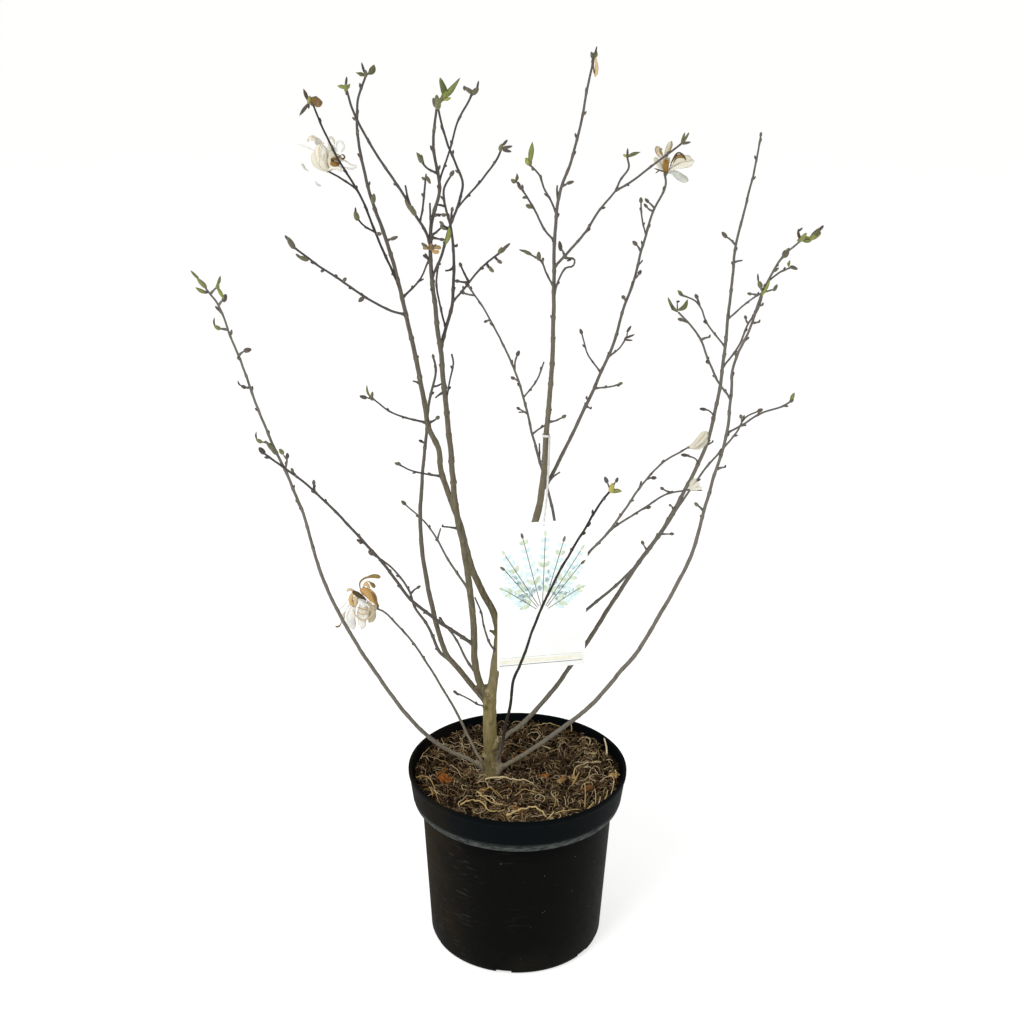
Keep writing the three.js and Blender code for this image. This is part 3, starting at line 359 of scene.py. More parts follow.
    stem("right_inner", on="middle", at=0.334, shade=0.4, bare=0.24, thick=(4.8, 3.6, 2.6), end="fresh_star",
         path=[(35, 44, 613), (47, 56, 636), (75, 80, 688), (98, 102, 736), (113, 116, 769),
         (123, 130, 802), (138, 146, 844), (146, 156, 877), (160, 168, 922), (175, 178, 955),
         (173, 182, 968)],
         shoots=[
             twig(0.045, (12, -3, 11), "bare"), twig(0.28, (6, -6, -1), "tick"),
             twig(0.3, (-3, -3, 4), "tick"), twig(0.34, (31, -12, 10)), twig(0.39, (-25, 12, 48)),
             twig(0.44, (23, 12, 22), "fork_ticks"), twig(0.61, (-4, -6, 6)), twig(0.68, (6, -6, 9)),
             twig(0.76, (-7, 6, 9)), twig(0.81, (-7, 8, 41)), twig(0.88, (-10, -6, 8)),
             twig(0.89, (-9, 8, 8)),
         ]),
    stem("left_sweep", on="left_front", at=0.117, shade=-0.15, thick=(4.6, 3.3, 2.3),
         end="dark_round",
         path=[(-73, -16, 430), (-105, -26, 459), (-133, -38, 491), (-162, -54, 541), (-198, -74, 595),
         (-239, -96, 650), (-287, -120, 701)],
         shoots=[twig(0.52, (-12, -6, 12)), twig(0.79, (-1, 4, 9)), twig(0.87, (-3, -3, 8))]),
    stem("left_low_side", on="left_low", at=0.165, shade=0.2, thick=(4.4, 3.2, 2),
         path=[(-100, 25, 388), (-112, 20, 421), (-129, 12, 455), (-137, 8, 481), (-159, 0, 516),
         (-181, -8, 535)],
         shoots=[twig(0.59, (9, 6, 6))]),
    stem("left_inner", on="left_front", at=0.058, shade=0.5, thick=(3.5, 3, 2),
         path=[(-64, 4, 385), (-80, 12, 414), (-98, 18, 437)]),
    stem("left_behind", on="left_front", at=0.222, shade=0.6, thick=(3.2, 2.4, 2),
         path=[(-75, -12, 510), (-90, 4, 528), (-106, 24, 549), (-123, 50, 559), (-145, 62, 575)],
         shoots=[twig(0.52, (4, -3, 16), "bare")]),
    stem("right_behind", on="middle", at=0.043, shade=0.5, thick=(4.5, 3.4, 2.2),
         path=[(2, 20, 389), (39, 34, 406), (88, 52, 439), (144, 76, 482), (182, 96, 527),
         (203, 106, 559), (239, 122, 608), (275, 134, 649), (285, 140, 667), (304, 146, 675)],
         shoots=[twig(0.94, (-2, -5, 9))]),
    stem("right_flower", on="middle", at=0.085, shade=0.5, thick=(4.4, 3.3, 2.2), end="closed_cream",
         path=[(1, 19, 432), (40, 18, 471), (84, 20, 526), (103, 14, 552), (125, 0, 591), (146, -10, 631),
         (164, -18, 656), (195, -28, 681)],
         shoots=[
             branch(0.56, 2.6, [(127, 24, 569), (151, 32, 582), (179, 42, 598),
                 (208, 50, 601)], "small_pale", [
                 twig(0.43, (8, 4, 1)), twig(0.8, (-12, -4, 6)),
             ]),
             twig(0.81, (8, 2, 1)),
         ]),
    stem("trunk_side", on="trunk", at=0.75, shade=0.5, thick=(2.6, 2.1, 1.9),
         path=[(-51, -2, 328), (-65, -9, 341), (-79, -14, 352)]),
    stem("middle_side", on="middle", at=0.05, shade=0.5, thick=(3.2, 2.5, 2), end="bare",
         path=[(-37, 2, 414), (-45, -4, 441), (-47, -6, 458), (-55, -7, 478)]),
]

TRUNK_PATH = [(-34, 9, 209), (-34, 9, 225), (-35.5, 9, 264), (-36, 9, 308), (-36, 9, 332),
              (-32, 10, 354)]
TRUNK_THICK = 17.2
TRUNK_FLARE = 4.8

# Pruning stubs and swellings of the trunk: points and radii.
TRUNK_KNOTS = [
    ([(-33, 7, 259), (-28.5, 3, 265), (-25.5, 3, 274)], (4.2, 3.4, 2.6)),
    ([(-36, 8, 338), (-38, 3.5, 342), (-38, 2.4, 344)], (6.4, 4.2, 2.2)),
    ([(-36, 7, 320), (-42, 2.5, 323), (-43.5, 1, 324)], (6, 4, 2.2)),
    ([(-40, 9, 252), (-43.5, 6, 251), (-44.5, 5, 250)], (5, 3.6, 1.8)),
    ([(-29, 13, 419), (-33, 12.5, 423), (-37, 12, 425)], (2.8, 1.9, 1.4)),
    ([(-36, 9, 345), (-50, 7, 346), (-53, 5, 350)], (7, 4.6, 3)),
    ([(-30, 2, 221), (-25, 2, 231), (-18, 2, 240)], (6, 4.8, 3.2)),
    ([(-24, 3, 238), (-24, 3, 250), (-26, 4, 260)], (3, 2.6, 2)),
    ([(-38, 6, 224), (-45, 5, 236), (-54, 4, 243)], (5.4, 4.6, 3)),
    ([(-35, 6, 228), (-33, 0, 221)], (6, 4)),
]

# Places on the bark: (right, away, up), reach, colour, strength.
BARK_SPOTS = [
    # The next two are small pale spots on the scar at the fork: painted highlights on its lumps.
    ((-40, 1, 346), 3.5, "#b8a283", 0.7),
    ((-33, 1, 339), 3, "#ab9676", 0.6),
    ((-38, 1, 331), 6, "#4d4427", 0.6),
    ((-41, 1, 323), 5, "#3f4222", 0.85),
    # A pale patch where the far left stem meets the foot: partly pale bark, partly painted light.
    ((-44, 1, 251), 6, "#b3a57c", 0.7),
    ((-29, 2, 240), 7, "#a3946c", 0.6),
    ((-35, 1, 300), 4, "#4a4024", 0.6),
    ((-52, 3, 346), 6, "#453b28", 0.7),
    ((-25, 5, 274), 5, "#c9bb96", 0.8),
]

# What notable shoots end in. Each form is told by the points it passes from its foot on, its
# width and its tone. The points are (right, away, up) from the shoot's tip. Tone runs from dark
# to fresh, and in petals from white through cream and orange to withered brown.
TIPS = {
    "side_bud": {"bud": [((-1, 0, 0), (9, 0, -1), 5, 0.45), ((-1, 0, 0), (1, 0, 6), 3, 0.2)]},
    "withered": {
        "petal": [
            ((-1, 0, 0), (6, -3, 3), (11, -3, 2), 4, 0.85),
            ((0, 0, 0), (-5, -3, 3), (-8, -3, 1), 4.2, 0.9),
            ((0, 0, 1), (5, -4, -2), (9, -4, -1), 4, 0.8), ((-1, 0, 0), (2, -2, 6), 4, 0.92),
        ],
        "bud": [((-2, 0, 0), (-10, -1, 7), 4.6, 0.42), ((0, -1, 0), (6, -2, 6), 3, 0.3)],
    },
    "hanging_petal": {
        "bud": [((-1, 0, -1), (-3, -1, 7), 4.4, 0.25), ((1, 0, 3), (3, 0, 13), 2.4, 0.0)],
        "leaf": [((0, 0, 0), (3, 1, 8), 5.5, 0.5)],
        "petal": [
            ((2, -2, 1), (2, -2, -20), 3.8, 0.55), ((1, -3, 1), (0, -4, -7), (1, -3, -17), 1.6, 0.95),
        ],
    },
    "three_buds": {
        "bud": [
            ((0, 0, -1), (3, 0, 12), 3.2, 0.45), ((1, 0, 0), (8, 0, 12), 3.2, 0.5),
            ((0, 0, 0), (10, -2, 2), 3.4, 0.3),
        ],
    },
    "leaf_and_bud": {
        "leaf": [((0, 0, -1), (1, 0, 9), 4, 0.35)],
        "bud": [((0, 0, -2), (-6, 1, 1), 5.4, 0.5), ((5, 0, -9), (2, 0, -1), 4.6, 0.08)],
    },
    "long_leaf": {
        "leaf": [((0, 0, 0), (3, 1, 26), 6.6, 0.66), ((1, 0, -1), (-5, 0, 8), 6.4, 0.85)],
        "bud": [((0, 0, -2), (2, 0, 6), 4.2, 0.5), ((4, 0, -7), (3, 0, -2), 3.4, 0.6)],
    },
    "dark_buds": {"bud": [((0, 0, -3), (0, 0, 11), 6.6, 0.5), ((-1, 0, -2), (-4, 0, 8), 4.8, 0.3)]},
    "crown_pair": {
        "bud": [((0, 0, -2), (0, 0, 9), 6.6, 0.55), ((1, 0, 4), (5, -1, 12), 4.6, 0.5)],
        "leaf": [
            ((4, 0, 8), (11, -2, 16), (22, -3, 29), 6, 0.55),
            ((8, 0, 9), (6, 1, 18), (2, 1, 29), 7, 0.42), ((6, -1, 8), (13, -2, 10), 3.2, 0.8),
            ((3, 0, 6), (10, -2, 17), 6, 0.6),
        ],
    },
    "brown_pair": {
        "bud": [
            ((-1, 0, 0), (11, -2, 3), 3.8, 0.2), ((1, 0, -1), (10, 1, -3), 3.6, 0.12),
            ((-2, 0, -2), (1, 0, 5), 4.8, 0.55), ((1, 0, 3), (6, 0, 9), 3.2, 0.1),
        ],
    },
    "green_star": {
        "bud": [
            ((0, 0, -4), (0, 0, 5), 4.8, 0.62), ((0, 0, 2), (1, 0, 11), 2.8, 0.05),
            ((1, 0, -7), (1, 0, -2), 4, 0.1),
        ],
        "leaf": [((0, 0, 0), (-8, -2, 2), 3.8, 0.75), ((0, 0, -1), (4, 1, 4), 3, 0.6)],
    },
    "fuzzy_pair": {
        "bud": [
            ((1, 0, -2), (-9, 0, 4), 5.4, 0.38), ((-1, 0, -3), (6, 0, 4), 6.4, 0.42),
            ((-8, 0, 1), (-9, 0, 6), 4, 0.25), ((4, 0, 2), (6, 0, 11), 2.6, 0.0),
        ],
    },
    "oval_pair": {
        "leaf": [((0, 0, 0), (-10, 0, 3), 4.4, 0.35), ((3, 0, 1), (7, 0, 6), (9, 0, 11), 6.4, 0.3)],
        "bud": [
            ((-1, 0, 2), (-4, 0, 13), 3, 0.0), ((0, 0, -2), (0, 0, 6), 4.4, 0.4),
            ((0, 0, 0), (5, 0, 4), 2.4, 0.4),
        ],
    },
    "twin_buds": {
        "bud": [
            ((1, 0, -1), (-9, 0, 2), 2.2, 0.1), ((-7, 0, 1), (-16, 0, 3), 5, 0.05),
            ((1, 0, -1), (-5, 0, 2), 4.6, 0.25), ((-2, 0, 0), (-1, 0, 9), 4.2, 0.45),
        ],
        "leaf": [((-3, 0, 1), (-7, 0, 9), (-7, 0, 17), 2.8, 0.5)],
    },
    "fat_bud": {"bud": [((2, 0, -3), (-6, -2, 10), 6.8, 0.38), ((-4, 0, 6), (-8, 0, 12), 3.8, 0.12)]},
    "olive_left": {"bud": [((5, 0, -3), (-6, 0, 1), 6, 0.42), ((-3, 0, -1), (-9, 0, 4), 3.6, 0.3)]},
    "dark_round": {"bud": [((3, 0, -3), (-3, 0, 5), 6.6, 0.0)]},
    "olive_bud": {"bud": [((1, 0, -4), (-1, 0, 7), 6.8, 0.48), ((-1, 0, 4), (-1, 0, 11), 2.6, 0.0)]},
    "olive_long": {"bud": [((4, 0, -7), (-3, -2, 5), 6.4, 0.45), ((0, 0, -3), (-7, -2, 10), 4.6, 0.45)]},
    "twin_tips": {
        "bud": [
            ((0, 0, -1), (-4, 0, 2), 3.2, 0.35), ((1, 0, 3), (5, 0, -5), 4.2, 0.35),
            ((0, 0, 0), (1, 0, 6), 2.2, 0.3),
        ],
    },
    "two_buds": {
        "bud": [((-2, 0, 1), (7, 0, -2), 4.6, 0.35)],
        "leaf": [((-3, 0, 0), (-2, 0, 8), 3.4, 0.6)],
    },
    "green_leaf": {"leaf": [((-3, 0, -5), (2, -1, 5), (5, -1, 14), 3.4, 0.75)]},
    "spur_bud": {"bud": [((2, 0, -4), (-2, 0, 4), 6, 0.5), ((-2, 0, 3), (-3, 0, 12), 2.4, 0.05)]},
    "fat_grey": {"bud": [((3, 0, -3), (-4, 0, 5), 6, 0.32)]},
    "oval_up": {"bud": [((-2, 0, -3), (2, 0, 6), 5, 0.4)]},
    "sprout": {
        "bud": [((0, 0, -1), (0, 0, 10), 2.8, 0.15)],
        "leaf": [
            ((0, 0, 0), (-5, 0, 3), 3, 0.9), ((-1, 0, 0), (6, -1, 4), (14, -1, 6), 4.2, 0.4),
            ((0, 0, 1), (5, 0, 2), 3, 0.85),
        ],
    },
    "left_bud": {"bud": [((3, 0, -1), (-9, 0, 4), 5, 0.45), ((-5, 0, 2), (-12, 0, 5), 2.6, 0.1)]},
    "bud_row": {
        "bud": [((-4, 0, -3), (4, 0, 3), 4.2, 0.3), ((-1, 0, 0), (8, 0, 8), 3.8, 0.2)],
        "leaf": [((-5, 0, -3), (-1, 0, 4), 3.6, 0.5)],
    },
    "brown_bud": {"bud": [((0, 0, -3), (-2, 0, 9), 5.6, 0.1)]},
    "brown_star": {
        "petal": [((-3, 0, 1), (1, -2, 3), (5, -3, 1), (9, -3, -4), 9, 0.95)],
        "leaf": [
            ((-3, 0, 0), (-9, -3, -7), (-14, -3, -14), 3.8, 0.12),
            ((-4, 0, 1), (-7, 0, 9), (-9, 0, 14), 4, 0.1), ((-3, 0, 2), (5, 2, 6), 5, 0.3),
        ],
        "bud": [
            ((-4, 0, -2), (-2, 0, 7), 5, 0.75), ((-4, 0, 0), (-4, 0, -7), 3, 0.0),
            ((2, 0, -4), (-4, 0, 2), 4, 0.3),
        ],
    },
    "far_left_top": {
        "bud": [((1, 0, 0), (-8, 0, 11), 5.6, 0.62), ((2, 0, -5), (-2, 0, -3), 3.4, 0.1)],
        "leaf": [
            ((-6, 0, 9), (-11, 0, 14), (-15, 0, 19), 3, 0.5),
            ((2, 0, -5), (-4, 0, -3), (-11, 0, 1), 4.2, 0.6),
        ],
    },
    "split_leaf": {
        "bud": [((0, 0, -3), (1, 0, 4), 4.6, 0.6)],
        "leaf": [((0, 0, 1), (4, 0, 12), 3.2, 0.5), ((0, 0, 0), (3, 0, -6), (7, 0, -14), 3.8, 0.75)],
    },
    "brown_oval": {"bud": [((-1, 0, -4), (2, 0, 5), 6, 0.12)]},
    "brown_right": {"bud": [((-1, 0, 0), (8, 0, 2), 6, 0.22)]},
    "horned": {
        "bud": [((2, 0, -1), (-5, 0, 3), 5, 0.6)],
        "leaf": [((-4, 0, 2), (-5, 0, 7), (-4, 0, 12), 2, 0.15)],
    },
    "small_horned": {
        "bud": [((2, 0, -1), (-4, 0, 2), 4.6, 0.1)],
        "leaf": [((-3, 0, 1), (-6, 0, 4), (-7, 0, 8), 1.8, 0.05)],
    },
    "dark_and_olive": {
        "bud": [
            ((0, 0, -3), (1, 0, 4), 4.6, 0.1), ((-4, 0, 2), (-8, 0, 9), 5.4, 0.6),
            ((0, 0, -5), (-5, 0, 3), 1.8, 0.2),
        ],
    },
    "tick": {"bud": [((0, 0, -1), (1, 0, 3), 2.6, 0.1)]},
    "fork_ticks": {
        "bud": [
            ((0, 0, -2), (1, 0, 9), 2, 0.1), ((0, 0, 6), (5, 0, 15), 3.8, 0.2),
            ((-1, 0, -1), (10, 0, 4), 3.2, 0.1), ((-3, 0, -3), (8, 0, -4), 2.8, 0.1),
        ],
    },
    "dark_left": {"bud": [((4, 0, 0), (-5, 0, 1), 5, 0.08)]},
    "dark_knob": {"bud": [((2, 0, -1), (-3, 0, 2), 4, 0.02)]},
    "olive_knob": {"bud": [((0, 0, -5), (1, 0, 6), 6, 0.45)]},
    "oval_right": {"bud": [((-2, 0, -1), (7, 0, 2), 4.8, 0.32)]},
    "pale_leaf": {"leaf": [((0, -1, 2), (0, -1, -6), (-4, -1, -17), 4.8, 0.72)]},
    "olive_pair": {
        "leaf": [
            ((-2, 0, -1), (-5, 0, 6), (-5, 0, 11), 3.8, 0.12),
            ((-1, 0, -2), (7, -1, -1), (11, 0, 3), 4, 0.55), ((0, 0, 0), (8, -1, 2), 3, 0.7),
            ((6, -1, 0), (12, -2, 6), (19, -3, 14), 6, 0.3),
        ],
        "bud": [
            ((-5, 0, 8), (-1, 0, 12), 2.4, 0.0), ((-3, 0, -3), (3, -2, 7), 5.4, 0.72),
            ((-6, 0, -2), (3, 0, 1), 4.4, 0.6), ((7, -1, 0), (19, 1, 7), 6.6, 0.72),
            ((16, -3, 10), (20, -3, 15), 3.6, 0.05),
        ],
    },
    "small_pair": {
        "leaf": [
            ((0, 0, 0), (-6, 0, 5), (-12, 0, 16), 4, 0.5), ((-1, 0, 2), (6, 0, 6), (9, 0, 14), 5, 0.4),
        ],
        "bud": [
            ((-6, 0, 2), (-8, 0, 8), 3, 0.1), ((-1, 0, 0), (-2, 0, 12), 1.8, 0.25),
            ((-3, 0, 11), (1, 0, 12), 2.6, 0.0),
        ],
    },
    "yellow_tip": {
        "bud": [
            ((0, 0, -1), (3, 0, 10), 6.4, 0.95), ((0, 0, 2), (-4, 0, 12), 2, 0.3),
            ((-3, 0, 9), (-6, 0, 17), 5, 0.2), ((3, 0, 3), (6, 0, 13), 1.8, 0.3),
            ((6, 0, 10), (8, 0, 16), 3.8, 0.08), ((0, 0, -2), (5, 1, 4), 5, 0.9),
        ],
        "leaf": [((1, 0, -1), (13, -2, 1), 4.8, 0.7)],
    },
    "fresh_star": {
        "petal": [
            ((2, 0, 0), (11, -4, 1), (18, -7, -3), (29, -9, -9), 9, 0),
            ((3, 0, 1), (12, -5, 8), (22, -7, 12), (35, -8, 16), 10.5, 0.15),
            ((8, -5, 8), (14, -7, 14), (22, -8, 18), (32, -8, 18), 8, 0.22),
            ((5, -5, 3), (9, -8, 16), (15, -9, 25), (20, -9, 23), (25, -9, 16), 2.3, 1),
            ((10, -6, 13), (15, -8, 21), (20, -8, 20), (24, -8, 16), 4.5, 0.9),
            ((1, 2, 8), (2, 3, 19), (4, 2, 29), (7, 0, 38), 6, 0.24),
            ((2, 0, 16), (6, -1, 27), (8, -1, 33), (7, 0, 38), 1.6, 0.86),
            ((-1, 1, 9), (-4, 2, 17), (-7, 1, 24), (-11, -1, 32), 6.5, 0.22),
            ((-3, -2, 21), (-6, -3, 25), (-6, -3, 28), (-4, -3, 29), 2.6, 0.88),
            ((-8, -2, 19), (-11, -3, 24), (-12, -3, 29), (-10, -3, 32), 1.5, 0.8),
            ((-2, 0, 6), (-7, -3, 12), (-11, -4, 16), (-14, -4, 18), 6.5, 0.24),
            ((0, 4, 3), (3, 14, 10), (8, 20, 15), 8, 0.26),
            ((-1, 4, 3), (-6, 14, 8), (-9, 20, 9), 8, 0.2),
        ],
        "heart": [((0, -2, 1), (0, -4, 18), 5.6, 0.6), ((2, -3, 1), (3, -5, 17), 5.2, 0.6)],
        "bud": [((3, 0, 0), (-13, 0, 5), 2.4, 0.25), ((-6, 0, 3), (-11, -1, -1), 1.8, 0.15)],
    },
    "spent_cream": {
        "petal": [
            ((0, 0, 0), (-7, -3, 5), (-11, -4, 12), (-12, -2, 22), 12, 0.2),
            ((0, 0, 0), (-4, -6, 8), (-7, -7, 18), (-7, -4, 30), 13, 0.15),
            ((1, 0, 1), (2, -5, 8), (3, -6, 15), (2, -3, 22), 12, 0.24),
            ((1, 0, 1), (5, -4, 6), (9, -5, 13), (10, -3, 20), 9, 0.3),
            ((0, 2, 0), (0, 6, 11), (2, 8, 20), (3, 8, 29), 12, 0.08),
            ((-7, 2, 16), (-8, 2, 25), (-10, 0, 32), (-14, -3, 35), 8, 0.09),
            ((-12, -2, 31), (-14, -4, 35), (-18, -5, 36), (-20, -5, 34), 4.6, 0.12),
            ((-12, -4, 35), (-14, -5, 38), (-17, -5, 38), 1.8, 0.36),
            ((-18, -5, 36), (-20, -5, 35), (-21, -5, 33), (-19, -5, 33), 1.6, 0.36),
            ((-8, -8, 4), (-8, -9, 14), (-8, -9, 24), (-6, -7, 31), 1.1, 0.32),
            ((-6, -7, 30), (-4, -7, 31), (-3, -7, 30), 1.4, 0.36),
            ((0, -8, 4), (-3, -9, 10), (-4, -9, 16), (-3, -8, 20), 1, 0.32),
            ((4, 0, 21), (1, -1, 31), (4, -2, 37), (7, -3, 34), (8, -3, 29), 2.4, 0.22),
            ((10, 0, 21), (11, -1, 31), (15, -2, 32), (18, -3, 27), (15, -3, 21), 2.2, 0.02),
            ((6, -8, 10), (5, -9, 14), (9, -10, 15), (12, -10, 13), 2.4, 0.97),
            ((8, -9, 8), (10, -10, 11), (13, -10, 10), (11, -10, 7), 2.2, 0.99),
            ((10, -8, 13), (12, -9, 16), (15, -10, 17), 2.2, 0.96),
            ((14, -9, 18), (17, -9, 19), (19, -9, 17), (18, -9, 15), (15, -9, 15), 2, 0.98),
            ((0, -2, 1), (5, -7, 6), (11, -8, 5), (15, -8, 1), 6, 0.14),
            ((7, -2, 8), (18, -4, 12), (25, -5, 8), (32, -5, 7), 1.6, 0.12),
            ((10, -2, 6), (19, -4, 5), (26, -5, 4), (32, -5, 6), 2, 0.02),
            ((-7, 0, 13), (-15, -3, 22), (-23, -4, 26), (-32, -4, 29), 1.6, 0.08),
            ((-21, -6, 1), (-25, -6, 4), (-28, -6, 9), 2.4, 0),
            ((-14, -6, -10), (-12, -6, -13), (-8, -6, -15), 2, 0),
            ((1, 4, 2), (7, 14, 9), (10, 18, 16), 10, 0.22),
            ((-1, 4, 2), (-7, 14, 7), (-10, 18, 16), 10, 0.2),
        ],
        "heart": [((3, -7, 10), (12, -8, 8), 6, 0.5), ((6, -7, 12), (7, -8, 16), 3, 0)],
    },
    "spent_orange": {
        "petal": [
            ((1, 0, 3), (-5, -4, 14), (-13, -7, 26), (-23, -6, 31), 11, 0.7),
            ((-1, 1, 3), (-4, -1, 15), (-10, -3, 25), (-18, -3, 31), 8, 0.66),
            ((1, 0, 3), (-1, -3, 8), (-5, -5, 20), (-8, -4, 26), 4, 0.9),
            ((-30, -8, 30), (-26, -9, 28), (-21, -9, 23), 3, 0.95),
            ((-26, -6, 27), (-32, -8, 26), (-35, -9, 17), (-32, -9, 7), 6, 0.6),
            ((-24, -5, 25), (-28, -8, 20), (-29, -8, 13), (-30, -8, 7), 6, 0.42),
            ((-28, -5, 27), (-34, -7, 30), (-39, -7, 31), (-40, -7, 27), 3, 0.45),
            ((-18, -3, 19), (-10, -6, 9), (-13, -8, -2), (-22, -9, -4), (-28, -9, 1), 2, 0.44),
            ((-11, -1, 13), (-5, -4, 1), (-11, -6, -10), (-21, -8, -13), (-29, -9, -6), (-33, -9, 4),
             2, 0.4),
            ((-29, -10, 8), (-22, -10, 5), (-14, -10, 3), 1.6, 0.7),
            ((-28, -3, 16), (-34, -5, 2), (-37, -6, -13), (-33, -5, -28), 12, 0.03),
            ((-22, 0, 13), (-24, -2, -1), (-23, -3, -14), (-22, -2, -29), 12, 0.06),
            ((-17, -2, 14), (-18, -5, 2), (-18, -6, -7), (-20, -6, -15), 10, 0.12),
            ((-14, 0, 11), (-8, -2, 1), (-8, -2, -10), (-13, -1, -19), 10, 0.3),
            ((-26, -5, 18), (-21, -9, 14), (-14, -9, 9), 8, 0.04),
            ((-6, 6, 3), (-8, 14, -5), (-11, 16, -14), 10, 0.28),
            ((-30, -3, 19), (-39, -6, 16), (-46, -8, 7), (-56, -9, -2), 1.8, 0.04),
            ((-32, -3, 14), (-40, -7, 6), (-45, -9, -2), 1.8, 0.06),
            ((-43, -8, 1), (-46, -9, -8), (-48, -10, -16), 5, 0.26),
            ((-48, -10, -15), (-52, -10, -21), (-57, -10, -22), 2.4, 0.93),
            ((-22, -3, 26), (-23, -3, 39), (-17, -4, 46), (-10, -5, 49), 2.4, 0.88),
            ((-16, -4, 46), (-9, -5, 49), (-3, -6, 50), (5, -6, 49), 5.4, 0.88),
            ((-17, -2, 29), (-18, -2, 36), (-14, -3, 41), (-8, -4, 41), 2, 0.5),
            ((-11, -3, 42), (-8, -4, 39), (-5, -4, 36), (-4, -4, 32), 5, 0.9),
            ((-20, -3, 29), (-18, -3, 35), (-14, -4, 38), (-10, -4, 30), 4, 0.55),
            ((-28, -4, 27), (-37, -5, 31), (-40, -5, 28), 1.8, 0.2),
        ],
        "heart": [((-33, -8, 29), (-15, -8, 17), 7, 0)],
        "bud": [((-1, 0, -1), (0, -2, 6), 3.4, 0.1)],
    },
    "closed_cream": {
        "petal": [
            ((0, 0, 0), (5, -4, 2), (12, -5, 10), (19, -4, 21), 8.5, 0.18),
            ((0, 0, 0), (7, -2, 4), (16, -1, 12), (21, 0, 19), 9, 0.22),
            ((0, 1, -1), (10, 0, 0), (17, 1, 5), (21, 2, 11), 7, 0.2),
            ((4, -5, 2), (9, -7, 8), (13, -7, 14), (18, -6, 21), 1, 0.36),
            ((0, 2, -1), (10, 6, 0), (17, 6, 10), 8, 0.24),
        ],
        "bud": [((-2, 0, -1), (3, 0, 1), 3.4, 0.5)],
    },
    "small_pale": {
        "petal": [
            ((0, 0, 0), (12, 0, 9), 6, 0.15), ((0, 1, 0), (8, 4, 13), 5, 0.2),
            ((1, -1, 0), (15, -3, 4), 5, 0.12),
        ],
        "bud": [((0, 0, 0), (17, 0, -1), 2.8, 0.1)],
    },
}

# ------------------------------------------------------------------ paint


def tint(code):
    """A colour such as "#6b6142" as the linear values that the shader takes."""
    parts = [int(code[i:i + 2], 16) / 255 for i in (1, 3, 5)]
    return [p / 12.92 if p <= 0.04045 else ((p + 0.055) / 1.055) ** 2.4 for p in parts] + [1.0]


class Value:
    """One socket of a material. Arithmetic on it adds Math nodes."""

    def __init__(self, paint, socket):
        self.paint = paint
        self.socket = socket

    def math(self, operation, *inputs):
        return self.paint.node("Math", {"operation": operation}, *inputs)

    def __add__(self, other):
        return self.math("ADD", self, other)

    def __mul__(self, other):
        return self.math("MULTIPLY", self, other)

    def __sub__(self, other):
        return self.math("SUBTRACT", self, other)

    def __rsub__(self, other):
        return self.math("SUBTRACT", other, self)

    __radd__ = __add__
    __rmul__ = __mul__

    def step(self, low, high):
        """0 below low, 1 above high, and a soft rise between them. low may be the larger."""
        settings = {"interpolation_type": "SMOOTHSTEP"}
        if low < high:
            return self.paint.node("MapRange", settings, self, low, high, 0.0, 1.0)
        return self.paint.node("MapRange", settings, self, high, low, 1.0, 0.0)

    def ramp(self, *stops):
        """The colour at this value, from (place, colour) stops."""
        return self.paint.node("ValToRGB", {"stops": stops}, self)


